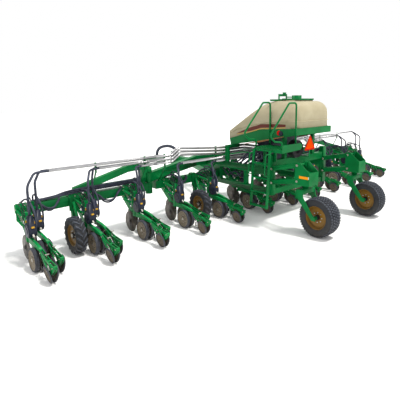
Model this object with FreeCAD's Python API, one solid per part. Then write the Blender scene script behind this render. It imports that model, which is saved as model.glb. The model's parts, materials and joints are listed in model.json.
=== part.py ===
"""Pull-type folding precision planter, unfolded, parked on its casters, lift wheels and jack.

Frame: +X to the machine's right, +Y forwards, +Z up, millimetres. All places below are written with y = 0 on
the centre line of the toolbar; every shape is moved by ORIGIN_Y at export, so that the origin ends up on the
floor under the middle of the whole machine.
"""
import math
import os

import FreeCAD, Part

V = FreeCAD.Vector

# ---------------------------------------------------------------- driving dimensions
ROW_PITCH = 1016.0          # between twin rows
TWIN_SPACING = 203.0        # between the two units of a twin row
STAGGER = 280.0             # the right-hand unit of a twin row sits this much further forward
WING_ROWS = 3
CENTRE_ROWS = 6

BAR = 178.0                 # toolbar, square section
BAR_Z = 870.0               # toolbar centre line above the floor
BAR_TIP = 120.0             # toolbar beyond the outermost twin row
PIVOT_X = 3.0 * ROW_PITCH   # wing fold pin from the machine's middle
PIVOT_R = 78.0              # outside of the fold knuckles
PIVOT_PIN_R = 38.0
PIVOT_GAP = 8.0             # between knuckles, and between bar ends and knuckles
ARM_CLEAR = 27.0            # room round the carrier arm's knuckle for the folded wing
RUNNING = 0.4               # radial clearance of pins and axles

ARM_H = 210.0               # wing carrier arm, height at its pin
ARM_Z0 = 965.0              # underside of the arm's knuckle
ARM_W = 130.0
CARRIER_X = 1450.0          # inner end of the carrier arm, on the front cross beam
CARRIER_Y = 400.0
CARRIER_Z = 1205.0          # centre height of the front cross beam
CARRIER_H = 250.0
CARRIER_W = 120.0
FRONT_PROP_X = 400.0        # posts that tie the front cross beam to the toolbar

SIDE_X = 1000.0             # side truss planes of the centre frame
SIDE_W = 100.0
SIDE_TOP_Z = 1160.0         # upper chord centre line
SIDE_TOP_H = 150.0
SIDE_LOW_Z = 710.0
SIDE_LOW_H = 120.0
POST_Y = -1920.0            # rear posts that carry the caster links
POST = 130.0
POST_TOP = 1580.0
REAR_BEAM_TOP = 1440.0
MID_POST_Y = -1090.0        # middle uprights of the side trusses

CASTER_X = 1020.0
CASTER_Y = -2870.0          # swivel pin
CASTER_TRAIL = 370.0
CASTER_R = 415.0
CASTER_W = 360.0
CASTER_RIM_R = 250.0
RIM_WALL = 9.0
LINK_FRONT_Y = POST_Y - POST / 2 - 45.0
LINK_REAR_Y = CASTER_Y + 115.0
LINK_FRONT_Z = (1275.0, 960.0)
LINK_REAR_Z = (1450.0, 1110.0)
LINK_X = 105.0              # link bars each side of the caster plane
LINK_H = 100.0
LINK_T = 36.0
LINK_PIN_R = 26.0
HEAD_X = 150.0              # caster head cheeks each side of the caster plane
HEAD_T = 16.0
HEAD_NOSE = 170.0           # cheeks ahead of the swivel pin
HEAD_TAIL = 200.0           # and behind it
HEAD_LOW = 1040.0
HEAD_TOP = 1318.0           # cheeks at their rear edge
SWIVEL_Z = 985.0            # underside of the caster head
SWIVEL_TOP = 1300.0
SWIVEL_R = 42.0
CASTER_AXLE_R = 35.0

LUG_R = 345.0               # lift wheel, out to the lugs' tips
LUG_H = 22.0
LUG_W = 190.0
LUG_RIM_R = 205.0
LUG_COUNT = 20
LUG_Y = -530.0
LUG_AXLE_R = 30.0
LIFT_BRACKET = 100.0        # width of the lift wheel's bracket
LIFT_CYLINDER_R = 26.0
LUG_X = (4935.0, 1985.0)    # wing wheel, centre wheel

GAUGE_R = 203.0
GAUGE_W = 70.0
GAUGE_IN = 25.0             # inner face from the row's middle
CLOSE_R = 146.0
CLOSE_W = 26.0
CLOSE_TILT = 12.0
CLOSE_Z = CLOSE_R + 3.2       # the leaning wheels' lower edges just meet the floor
CLOSE_GAP = 52.0            # wheel middles at axle height, from the row's middle
DISC_R = 190.0
COULTER_R = 222.0
DISC_LIFT = 12.0            # discs stay this much above the floor

UNIT_CLOSE_Y = -1450.0      # rear unit: closing axle
UNIT_GAUGE_Y = -825.0
UNIT_COULTER_Y = -235.0
UNIT_HEAD_Y = -435.0        # middle of the upright shank
SHANK_HALF = 38.0
LOOP_IN = 19.0              # rails of the open closing frame, from the row's middle
LOOP_OUT = 30.0
SHANK_FOOT = 400.0
SHANK_TOP = 925.0
LINKAGE_W = 158.0           # over the parallel arms
LINKAGE_Z = (735.0, 905.0)  # lower and upper arms at the toolbar
LINKAGE_DROP = 40.0         # and how much lower they are at the shank
OPENER_BODY = 24.0          # half width of the casting between the gauge wheels
METER_R = 122.0
METER_Z = 640.0
METER_TOP = 900.0
SEAT = 0.3                  # clearance between pieces that seat on each other
OPENER_HALF = 15.0
HANGER_OUT = 26.0           # outer face of the coulter's hanger, from the row's middle
CANISTER_R = 20.0
UNIT_METER_Y = UNIT_HEAD_Y - SHANK_HALF - SEAT - METER_R

TANK_W = 1440.0
TANK_FRONT_Y = -200.0
TANK_REAR_Y = -2340.0
TANK_TOP_Y = -1480.0        # where the sloping front meets the flat top
TANK_Z_FRONT = 1790.0
TANK_NOSE = 195.0
TANK_Z_REAR = 2160.0
TANK_KNEE = (-1270.0, 2085.0)    # the underside is steeper ahead of here
CRADLE_FRONT_Z = 1620.0     # lower edge of the green cradle
CRADLE_REAR_Z = 2005.0
TANK_TOP_Z = 2760.0
TANK_EDGE_R = 330.0         # rounding of the two long top edges
TANK_REAR_R = 240.0         # rounding all round the rear end
TANK_WALL = 14.0
FILL_X = 520.0              # fill opening
FILL_Y = 420.0
FILL_MID_Y = -1850.0
LID_LIFT = 26.0             # fill collar above the tank
HINGE_OUT = 60.0            # lid hinge ahead of the fill opening
SADDLE_FRONT_Y = (-465.0, -375.0)
SADDLE_REAR_Y = (-1950.0, -1860.0)
METER_BOX_HALF = 420.0      # seed box under the tank
METER_BOX_Y = (-960.0, -1340.0)
METER_BOX_Z = (1230.0, 1640.0)

FAN_PLACE = (-330.0, -2060.0, 1655.0)
FAN_R = 205.0
SIGN_Y = -2230.0
SIGN_W = 410.0
SIGN_Z = (1610.0, 1955.0)

HITCH_Y = 5300.0
HITCH_Z = 520.0
TONGUE_W = 200.0
TONGUE_H = 250.0
TONGUE_Z = 740.0
BRACE_X = 950.0             # roots of the two tongue braces
BRACE_Y = 2400.0            # where they meet the tongue
TONGUE_BEND_Y = 3440.0      # the tongue slopes down from here to the hitch
PIN_R = 20.0                # hitch pin hole

JACK_Y = 3150.0
JACK_X = -230.0
JACK_PIN_Z = 740.0
BUNDLE_R = 52.0             # hose bundle over the tongue

PIPE_R = 24.0
PIPE_Y = -250.0
PIPE_STEP = 76.0
PIPE_PAIR = 92.0
PIPE_Z = 1415.0             # lowest pair that serves the wing
PIPE_RISE = 130.0           # the pipes step up inboard of the fold pin
PIPE_FALL = 105.0           # and come down again towards the seed box
HOSE_R = 21.0

LADDER_Y = (-1665.0, -2140.0)
LADDER_TOP = (-TANK_W / 2 - 617.0, 1690.0)
LADDER_FOOT = (LADDER_TOP[0] - 93.0, 430.0)
LADDER_PIN_R = 14.0
LADDER_STEPS = 4
STILE_W = 72.0
STILE_T = 24.0
DECK_T = 30.0
DECK_Z = 1745.0
DECK_X = (-TANK_W / 2 - 530.0, -TANK_W / 2 - 4.0)
DECK_Y = (-1600.0, -2400.0)
RAIL_Y = (-1620.0, -2375.0)
RAIL_IN_X = -TANK_W / 2 - 28.0
RAIL_TOP = 2730.0
RAIL_R = 20.0

REAR_Y = CASTER_Y - CASTER_TRAIL - CASTER_R
FRONT_Y = HITCH_Y + 60.0
HINGE_X = LADDER_TOP[0] + 45.0
ORIGIN_Y = -(REAR_Y + FRONT_Y) / 2.0

shapes = {}


# ---------------------------------------------------------------- plain shapes
def box(x0, x1, y0, y1, z0, z1):
    x0, x1 = sorted((x0, x1))
    y0, y1 = sorted((y0, y1))
    z0, z1 = sorted((z0, z1))
    return Part.makeBox(x1 - x0, y1 - y0, z1 - z0, V(x0, y0, z0))


def prism(points, direction):
    wire = Part.makePolygon([V(*p) for p in points] + [V(*points[0])])
    return Part.Face(wire).extrude(V(*direction))


def plate_yz(points, x0, x1):
    return prism([(x0, y, z) for y, z in points], (x1 - x0, 0, 0))


def plate_xz(points, y0, y1):
    return prism([(x, y0, z) for x, z in points], (0, y1 - y0, 0))


def rod(start, end, radius):
    a, b = V(*start), V(*end)
    return Part.makeCylinder(radius, (b - a).Length, a, b - a)


def ring(start, end, outer, inner):
    return rod(start, end, outer).cut(rod(start, end, inner))


def fuse(*parts):
    flat = []
    for part in parts:
        flat.extend(part if isinstance(part, (list, tuple)) else [part])
    solid = flat[0]
    if len(flat) > 1:
        solid = flat[0].multiFuse(flat[1:])
    return solid.removeSplitter()


def beam(start, end, width, height, end_width=None, end_height=None):
    """A box beam whose ends are upright rectangles; it may taper."""
    a, b = V(*start), V(*end)
    along = V(b.x - a.x, b.y - a.y, 0.0)
    along.normalize()
    side = V(-along.y, along.x, 0.0)

    def end_wire(centre, w, h):
        corners = [centre + side * (sx * w / 2) + V(0, 0, sz * h / 2)
                   for sx, sz in ((-1, -1), (1, -1), (1, 1), (-1, 1))]
        return Part.makePolygon(corners + corners[:1])

    wires = [end_wire(a, width, height), end_wire(b, end_width or width, end_height or height)]
    return Part.makeLoft(wires, True, True)


def bent_tube(points, radius, bend):
    """A round tube along straight runs joined by tangent arcs of the one bend radius."""
    pts = [V(*p) for p in points]
    edges = []
    last = pts[0]
    for before, corner, after in zip(pts, pts[1:], pts[2:]):
        u, w = (before - corner), (after - corner)
        reach_u, reach_w = u.Length, w.Length
        u.normalize()
        w.normalize()
        half = u.getAngle(w) / 2.0
        back = min(bend / math.tan(half), 0.48 * reach_u, 0.48 * reach_w)
        start, end = corner + u * back, corner + w * back
        middle_dir = u + w
        middle_dir.normalize()
        arc_r = back * math.tan(half)
        centre = corner + middle_dir * (back / math.cos(half))
        middle = centre - middle_dir * arc_r
        if (start - last).Length > 1e-3:
            edges.append(Part.makeLine(last, start))
        edges.append(Part.Arc(start, middle, end).toShape())
        last = end
    edges.append(Part.makeLine(last, pts[-1]))
    path = Part.Wire(edges)
    profile = Part.Wire(Part.makeCircle(radius, pts[0], pts[1] - pts[0]))
    return path.makePipeShell([profile], True, True)


def mirror(shape):
    return shape.mirror(V(0, 0, 0), V(1, 0, 0))


def both_sides(shape):
    return [shape, mirror(shape)]


def put(name, parts):
    """Keeps a node; solids of one node either touch nothing or were fused before."""
    flat = []
    for part in (parts if isinstance(parts, (list, tuple)) else [parts]):
        flat.extend(part.Solids)
    shapes[name] = flat


# ---------------------------------------------------------------- wheels
def revolve_x(profile, x, y, z):
    """Turns (across, radius) points about the axle that runs along X through y, z."""
    corners = [V(x + across, y, z + radius) for across, radius in profile]
    wire = Part.makePolygon(corners + corners[:1])
    return Part.Face(wire).revolve(V(x, y, z), V(1, 0, 0), 360)


def caster_tyre(x, y, z):
    w, r, hole = CASTER_W / 2, CASTER_R, CASTER_RIM_R
    return revolve_x([(-w * 0.86, hole), (-w, hole + 70), (-w, r - 60), (-w * 0.8, r), (w * 0.8, r),
                      (w, r - 60), (w, hole + 70), (w * 0.86, hole)], x, y, z)


def rim(x, y, z, radius, half, axle_r, dish, face_side):
    """Wheel disc with a flanged well and a hub; the dish sits towards face_side."""
    seat = radius - SEAT
    well = seat - RIM_WALL
    shell = revolve_x([(-half, seat), (half, seat), (half, well), (-half, well)], x, y, z)
    disc_x = x + face_side * (half - dish)
    disc = ring((disc_x - 6, y, z), (disc_x + 6, y, z), well + 0.5, axle_r + RUNNING)
    inner_end = (disc_x - face_side * 55, y, z)
    outer_end = (disc_x + face_side * 70, y, z)
    hub = ring(inner_end, outer_end, axle_r + 34, axle_r + RUNNING)
    return fuse(shell, disc, hub)


def lug_tyre(x, y, z):
    half, tread, hole = LUG_W / 2, LUG_R - LUG_H, LUG_RIM_R
    body = revolve_x([(-half * 0.85, hole), (-half, tread), (half, tread), (half * 0.85, hole)], x, y, z)
    lugs = []
    for i in range(LUG_COUNT):
        side = 1 if i % 2 else -1
        foot = z + tread - 10
        bar = prism([(x + side * 5, y - 12, foot), (x + side * (half - 2), y - 48, foot),
                     (x + side * (half - 2), y - 18, foot), (x + side * 5, y + 18, foot)], (0, 0, LUG_H + 10))
        tip = rod((x - half, y, z), (x + half, y, z), LUG_R)
        bar = bar.common(tip)
        bar.rotate(V(x, y, z), V(1, 0, 0), 360.0 * i / LUG_COUNT)
        lugs.append(bar)
    return fuse(body, lugs)


# ---------------------------------------------------------------- row units
def tilted_wheel(x, y, z, tilt, radius, width):
    wheel = rod((x - width / 2, y, z), (x + width / 2, y, z), radius)
    wheel.rotate(V(x, y, z), V(0, 1, 0), tilt)
    return wheel


def closing_axle_stub(x, close, s):
    """Short axle that leans with its closing wheel, from the rail to the wheel's inner face."""
    reach = x + s * (CLOSE_GAP - CLOSE_W / 2 - SEAT)
    stub = rod((x + s * (LOOP_IN + 2), close, CLOSE_Z), (reach, close, CLOSE_Z), 12)
    stub.rotate(V(x + s * CLOSE_GAP, close, CLOSE_Z), V(0, 1, 0), s * CLOSE_TILT)
    return stub


def parallel_linkage(x, head):
    """Plate bolted to the toolbar, four parallel arms and the cross bars that tie them to the shank."""
    face = -BAR / 2
    heel = head - SHANK_HALF
    half = LINKAGE_W / 2
    plate = box(x - half - 1, x + half + 1, face, face - 14, LINKAGE_Z[0] - 45, LINKAGE_Z[1] + 105)
    parts = [plate]
    for z in LINKAGE_Z:
        for s in (-1, 1):
            arm_x = x + s * (half - 5)
            parts.append(beam((arm_x, face - 8, z), (arm_x, heel + 16, z - LINKAGE_DROP), 10, 55))
        tie = z - LINKAGE_DROP - 23
        parts.append(box(x - half, x + half, heel + 30, heel + 8, tie, tie + 44))
    return parts


def closing_frame(x, close):
    """Open frame over the closing wheels: two slotted side rails, a slotted cover and a rear bar."""
    parts = []
    for s in (-1, 1):
        rail = plate_yz([(close + 430, 438), (close + 400, SHANK_FOOT), (close + 50, 120), (close - 20, 118),
                         (close - 205, 270), (close - 215, 330), (close + 60, 350)],
                        x + s * LOOP_IN, x + s * LOOP_OUT)
        slot = plate_yz([(close + 250, 345), (close + 40, 190), (close - 110, 270), (close + 40, 305)],
                        x + s * (LOOP_IN - 10), x + s * (LOOP_OUT + 10))
        parts.append(rail.cut(slot))
        parts.append(closing_axle_stub(x, close, s))
    parts.append(box(x - LOOP_OUT, x + LOOP_OUT, close - 180, close - 205, 285, 320))
    cover = plate_yz([(close - 215, 322), (close + 60, 342), (close + 60, 354), (close - 215, 334)],
                     x - LOOP_OUT, x + LOOP_OUT)
    parts.append(cover.cut(box(x - LOOP_IN, x + LOOP_IN, close - 185, close + 30, 300, 400)))
    return parts


def unit_frame(x, back):
    """Green parts of one unit at lateral place x; back is 0 on the rear unit and STAGGER on the front one."""
    head = UNIT_HEAD_Y + back
    gauge = UNIT_GAUGE_Y + back
    close = UNIT_CLOSE_Y + back
    heel = head - SHANK_HALF
    shank = box(x - 34, x + 34, head + SHANK_HALF, heel, SHANK_FOOT, SHANK_TOP)
    body = plate_yz([(heel + 1, 505), (heel + 1, SHANK_FOOT), (gauge - 230, SHANK_FOOT), (gauge - 230, 440),
                     (gauge - 60, 470)], x - OPENER_BODY, x + OPENER_BODY)
    gauge_mounts = []
    for s in (-1, 1):
        inner = x + s * (OPENER_HALF + SEAT)
        gauge_mounts.append(plate_yz([(gauge + 90, SHANK_FOOT + 5), (gauge + 20, SHANK_FOOT + 5),
                                      (gauge - 26, GAUGE_R), (gauge, GAUGE_R - 28), (gauge + 26, GAUGE_R)],
                                     inner, x + s * OPENER_BODY))
        gauge_mounts.append(rod((inner, gauge, GAUGE_R), (x + s * (GAUGE_IN + 1), gauge, GAUGE_R), 17))
    return fuse(parallel_linkage(x, head), shank, body, gauge_mounts, closing_frame(x, close))


def unit_meter(x, back):
    """Seed meter drum with its small hopper above."""
    y = UNIT_METER_Y + back
    drum = rod((x - 62, y, METER_Z), (x + 62, y, METER_Z), METER_R)
    hood = plate_yz([(y + 75, 690), (y + 32, METER_TOP), (y - 38, METER_TOP), (y - 100, 700)], x - 42, x + 42)
    return fuse(drum, hood)


def unit_wheels(x, back):
    gauge = UNIT_GAUGE_Y + back
    close = UNIT_CLOSE_Y + back
    parts = []
    for s in (-1, 1):
        inner = x + s * (GAUGE_IN + 1 + SEAT)
        parts.append(rod((inner, gauge, GAUGE_R), (inner + s * GAUGE_W, gauge, GAUGE_R), GAUGE_R))
        parts.append(tilted_wheel(x + s * CLOSE_GAP, close, CLOSE_Z, s * CLOSE_TILT, CLOSE_R, CLOSE_W))
    return parts


def unit_discs(x, back):
    """Opener and coulter, both held just above the floor."""
    opener_y = UNIT_GAUGE_Y + back + 28
    coulter_y = UNIT_COULTER_Y + back
    opener_z = DISC_R + DISC_LIFT
    coulter_z = COULTER_R + DISC_LIFT
    return [rod((x - OPENER_HALF, opener_y, opener_z), (x + OPENER_HALF, opener_y, opener_z), DISC_R),
            rod((x - 4, coulter_y, coulter_z), (x + 4, coulter_y, coulter_z), COULTER_R)]


def coulter_hanger(x, back):
    """Arm bolted to the bar's front face that reaches down and back to the coulter."""
    y = UNIT_COULTER_Y + back
    z = COULTER_R + DISC_LIFT
    face = BAR / 2
    clamp = box(x - 50, x + 50, face, face + 14, 790, 950)
    under = BAR_Z - BAR / 2 - 11
    arm = plate_yz([(face + 10, 930), (face + 120, 930), (face + 150, under), (y + 95, 470), (y + 35, z - 25),
                    (y - 35, z - 25), (y - 70, 470), (face - 60, under), (face + 10, under)],
                   x + 16, x + HANGER_OUT)
    boss = rod((x + 4 + SEAT, y, z), (x + 20, y, z), 28)
    return fuse(clamp, arm, boss)


def coulter_canister(x, back):
    """Upright down-pressure cylinder on the outer side of the coulter's hanger."""
    middle = (x + HANGER_OUT + SEAT + CANISTER_R, UNIT_COULTER_Y + back + 85)
    return rod((*middle, 560), (*middle, 770), CANISTER_R)


def row_places(first, count):
    """Lateral places of the twin rows, from the machine's left."""
    outermost = -(CENTRE_ROWS / 2 + WING_ROWS - 0.5) * ROW_PITCH
    return [outermost + (first + i) * ROW_PITCH for i in range(count)]


def row_units(section, first, count):
    frames, meters, wheels, discs = [], [], [], []
    for row in row_places(first, count):
        for side, back in ((-1, 0.0), (1, STAGGER)):
            x = row + side * TWIN_SPACING / 2
            frames += [unit_frame(x, back), coulter_hanger(x, back)]
            meters += [unit_meter(x, back), coulter_canister(x, back)]
            wheels += unit_wheels(x, back)
            discs += unit_discs(x, back)
    put(section + "_row_frames", frames)
    put(section + "_row_meters", meters)
    put(section + "_row_wheels", wheels)
    put(section + "_row_discs", discs)


# ---------------------------------------------------------------- lift wheels
def lift_wheel_arm(x):
    """Bracket on the toolbar, trailing arm inside the wheel, axle and lift cylinder, at negative x."""
    side_x = x + LUG_W / 2 + 34
    half = LIFT_BRACKET / 2
    back = -BAR / 2 - 16
    top = BAR_Z + BAR / 2
    parts = [box(side_x - half, side_x + half, -BAR / 2, back, top - 269, top + 41),
             box(side_x - 30, side_x + 30, back + 5, back - 105, 560, 760),
             box(side_x - half + 4, side_x + half - 4, back, 40, top, top + 45)]
    for s in (-1, 1):
        parts.append(box(side_x + s * half, side_x + s * (half - 14), back + 5, back - 75, 700, 960))
    parts.append(beam((side_x, -150, 600), (side_x, LUG_Y, LUG_R), 46, 90))
    parts.append(rod((side_x, -190, 880), (side_x, LUG_Y + 110, LUG_R + 90), LIFT_CYLINDER_R))
    parts.append(rod((side_x, LUG_Y, LUG_R), (x - 40, LUG_Y, LUG_R), LUG_AXLE_R))
    return fuse(parts)


def lift_wheel(label, x):
    put(label + "_lift_tyre", lug_tyre(x, LUG_Y, LUG_R))
    put(label + "_lift_rim", rim(x, LUG_Y, LUG_R, LUG_RIM_R, 70, LUG_AXLE_R, 55, -1 if x < 0 else 1))


# ---------------------------------------------------------------- wings
def pipe_height(level):
    return PIPE_Z + level * PIPE_STEP


def pipe_mast(x, low, high, rise=0.0):
    """Bracket from the bar's top to an upright that stands between the two pipes of each pair."""
    y0 = PIPE_Y - PIPE_R - SEAT
    y1 = PIPE_Y - PIPE_PAIR + PIPE_R + SEAT
    top = BAR_Z + BAR / 2
    foot = box(x - 25, x + 25, -BAR / 2, -BAR / 2 + 60, top, top + 40)
    strut = beam((x, -BAR / 2 + 30, top + 25), (x, (y0 + y1) / 2, pipe_height(low) + rise - 60), 24, 44)
    upright = box(x - 12, x + 12, y0, y1, pipe_height(low) + rise - 90, pipe_height(high) + rise + 40)
    return fuse(foot, strut, upright)


def wing(section, flip):
    tip = PIVOT_X + (WING_ROWS - 0.5) * ROW_PITCH + BAR_TIP
    half = BAR / 2
    bar = box(-tip, -PIVOT_X - PIVOT_R + 20, -half, half, BAR_Z - half, BAR_Z + half)
    bore = rod((-PIVOT_X, 0, 600), (-PIVOT_X, 0, 1500), PIVOT_PIN_R + RUNNING)
    low_knuckle = rod((-PIVOT_X, 0, 700), (-PIVOT_X, 0, ARM_Z0 - PIVOT_GAP), PIVOT_R)
    top_z = ARM_Z0 + ARM_H + PIVOT_GAP
    arm_clear = rod((-PIVOT_X, 0, ARM_Z0 - PIVOT_GAP), (-PIVOT_X, 0, top_z), PIVOT_R + ARM_CLEAR)
    high_knuckle = rod((-PIVOT_X, 0, top_z), (-PIVOT_X, 0, 1300), PIVOT_R)
    mid_chord = box(-PIVOT_X - 1330, -PIVOT_X - PIVOT_R + 20, -50, 50, 1000, 1090)
    stands = [box(-PIVOT_X - d - 40, -PIVOT_X - d + 40, -45, 45, BAR_Z + half, 1000) for d in (150, 1280)]
    chord_low = (-PIVOT_X - 1680, 0, 1040)
    chord_knee = (-PIVOT_X - 520, 0, 1335)
    chord = [beam(chord_low, chord_knee, 110, 140), beam(chord_knee, (-PIVOT_X, 0, 1362), 110, 140)]
    foot = box(-PIVOT_X - 1705, -PIVOT_X - 1600, -55, 55, BAR_Z + half, 1030)
    post = box(-PIVOT_X - 190, -PIVOT_X - 60, -55, 55, 1080, 1330)
    frame = fuse(bar, low_knuckle, high_knuckle, mid_chord, stands, chord, foot, post)
    frame = frame.cut(arm_clear).cut(bore)
    frame = fuse(frame, pipe_mast(-PIVOT_X - 1330, 1, 2), pipe_mast(-PIVOT_X - 250, 0, 2))
    arm = lift_wheel_arm(-LUG_X[0])
    pipes, hoses = wing_lines(1 if flip else -1)
    if flip:
        frame, arm = mirror(frame), mirror(arm)
    put(section + "_toolbar", frame)
    put(section + "_lift_arm", arm)
    put(section + "_seed_pipes", pipes)
    put(section + "_seed_hoses", hoses)


def drop_hoses(tip, z, row, side_sign):
    """Two rubber hoses from a pair of pipe tips down to the meters of the twin row."""
    hoses = []
    for k, y in enumerate((PIPE_Y, PIPE_Y - PIPE_PAIR)):
        front = k == 0
        x = row + (TWIN_SPACING / 2 if front else -TWIN_SPACING / 2)
        meter_y = UNIT_METER_Y + (STAGGER if front else 0.0)
        knee_x = tip + (x - tip) * 0.55
        hoses.append(bent_tube([(tip + side_sign * SEAT, y, z), (knee_x, y, z), (x, meter_y - 2, z - 170),
                                (x, meter_y - 2, METER_TOP + SEAT)], HOSE_R, 140))
    return hoses


def wing_lines(s):
    """Steel seed pipes over one wing, a pair for each twin row, and the rubber hoses down to the units."""
    pipes, hoses = [], []
    for level in range(WING_ROWS):
        row = s * (PIVOT_X + (level + 0.5) * ROW_PITCH)
        z = pipe_height(level)
        tip = row - s * (140 + 100 * level)
        for y in (PIPE_Y, PIPE_Y - PIPE_PAIR):
            pipes.append(rod((s * (PIVOT_X + 5), y, z), (tip, y, z), PIPE_R))
        hoses += drop_hoses(tip, z, row, s)
    return pipes, hoses


# ---------------------------------------------------------------- centre frame
def side_truss(s):
    """Upper and lower chord of one side, their uprights, and the rear post that carries the caster links."""
    half = BAR / 2
    x0, x1 = s * SIDE_X - SIDE_W / 2, s * SIDE_X + SIDE_W / 2
    post_x = s * CASTER_X
    front_y = CARRIER_Y - CARRIER_W / 2
    parts = [box(x0, x1, front_y, POST_Y, SIDE_TOP_Z - SIDE_TOP_H / 2, SIDE_TOP_Z + SIDE_TOP_H / 2),
             box(x0, x1, -half, POST_Y, SIDE_LOW_Z - SIDE_LOW_H / 2, SIDE_LOW_Z + SIDE_LOW_H / 2),
             box(x0, x1, -half, -half - SIDE_W, SIDE_LOW_Z, SIDE_TOP_Z),
             box(x0, x1, MID_POST_Y + 40, MID_POST_Y - 40, SIDE_LOW_Z, SIDE_TOP_Z),
             box(x0, x1, -half, half, BAR_Z + half, SIDE_TOP_Z),
             box(post_x - POST / 2, post_x + POST / 2, POST_Y - POST / 2, POST_Y + POST / 2, 640, POST_TOP)]
    for z in LINK_FRONT_Z:
        reach = LINK_X + LINK_T
        parts.append(rod((post_x - reach, LINK_FRONT_Y, z), (post_x + reach, LINK_FRONT_Y, z), LINK_PIN_R))
        parts.append(box(post_x - 50, post_x + 50, POST_Y - POST / 2 + 10, LINK_FRONT_Y - 30, z - 45, z + 45))
    return fuse(parts)


def centre():
    half = BAR / 2
    bar_end = PIVOT_X - PIVOT_R - 60
    bar = box(-bar_end, bar_end, -half, half, BAR_Z - half, BAR_Z + half)
    put("centre_toolbar", bar)

    parts = [box(-CARRIER_X, CARRIER_X, CARRIER_Y - CARRIER_W / 2, CARRIER_Y + CARRIER_W / 2,
                 CARRIER_Z - CARRIER_H / 2, CARRIER_Z + CARRIER_H / 2)]
    trusses = []
    for s in (-1, 1):
        trusses.append(side_truss(s))
        parts.append(beam((s * CARRIER_X * 0.98, CARRIER_Y, CARRIER_Z), (s * PIVOT_X, 0, ARM_Z0 + ARM_H / 2),
                          ARM_W, CARRIER_H, ARM_W, ARM_H))
        parts.append(rod((s * PIVOT_X, 0, ARM_Z0), (s * PIVOT_X, 0, ARM_Z0 + ARM_H), PIVOT_R))
        parts.append(rod((s * PIVOT_X, 0, 690), (s * PIVOT_X, 0, 1450), PIVOT_PIN_R))
        parts.append(box(s * (bar_end - 260), s * (bar_end - 140), -40, 40, BAR_Z + half, ARM_Z0 + 60))
        parts.append(pipe_mast(s * (PIVOT_X - 250), -1, 2))
        parts.append(pipe_mast(s * 1290, -2, 2, 35.0))
    rear_x = CASTER_X - POST / 2
    rear_beam = box(-rear_x, rear_x, POST_Y + POST / 2, POST_Y - POST / 2 + 20, 1270, REAR_BEAM_TOP)
    mid_x = SIDE_X - SIDE_W / 2
    low_half = SIDE_LOW_H / 2
    low_beam = box(-mid_x, mid_x, POST_Y + 50, POST_Y - 40, SIDE_LOW_Z - low_half, SIDE_LOW_Z + low_half)
    mid_beam = box(-mid_x, mid_x, MID_POST_Y + 45, MID_POST_Y - 45, SIDE_TOP_Z - 60, SIDE_TOP_Z + 60)
    front_props = []
    for s in (-1, 1):
        x0, x1 = s * FRONT_PROP_X - 50, s * FRONT_PROP_X + 50
        front_props.append(box(x0, x1, 30, -60, BAR_Z + half, CARRIER_Z + 60))
        front_props.append(box(x0, x1, 30, CARRIER_Y, CARRIER_Z - 60, CARRIER_Z + 60))
    put("centre_frame", fuse(parts, front_props))
    put("left_side_truss", trusses[0])
    put("right_side_truss", trusses[1])
    put("rear_cross_beams", [rear_beam, low_beam, mid_beam])

    saddle = []
    y0, y1 = SADDLE_FRONT_Y
    rear0, rear1 = SADDLE_REAR_Y
    chord_top = SIDE_TOP_Z + SIDE_TOP_H / 2
    for s in (-1, 1):
        inner = s * (TANK_W / 2 - 110)
        bracket = plate_yz([(y0, cradle_bottom(y0)), (y1, cradle_bottom(y1)), (y1, cradle_bottom(y1) - 90),
                            (y0, cradle_bottom(y0) - 90)], inner, s * (SIDE_X + 45))
        post = box(s * SIDE_X - 45, s * SIDE_X + 45, y0, y1, chord_top, cradle_bottom(y0) - 40)
        saddle.append(fuse(post, bracket))
        saddle.append(plate_yz([(rear0, cradle_bottom(rear0)), (rear1, cradle_bottom(rear1)),
                                (rear1, REAR_BEAM_TOP), (rear0, REAR_BEAM_TOP)], s * 560 - 45, s * 560 + 45))
    put("tank_saddle", saddle)


def tank_bottom(y):
    """Height of the tank's sloping underside at y."""
    knee_y, knee_z = TANK_KNEE
    if y > knee_y:
        return knee_z + (y - knee_y) / (TANK_FRONT_Y - knee_y) * (TANK_Z_FRONT - knee_z)
    return knee_z + (y - knee_y) / (TANK_REAR_Y - knee_y) * (TANK_Z_REAR - knee_z)


def cradle_bottom(y):
    t = (y - TANK_FRONT_Y) / (TANK_REAR_Y - TANK_FRONT_Y)
    return CRADLE_FRONT_Z + t * (CRADLE_REAR_Z - CRADLE_FRONT_Z)


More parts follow.
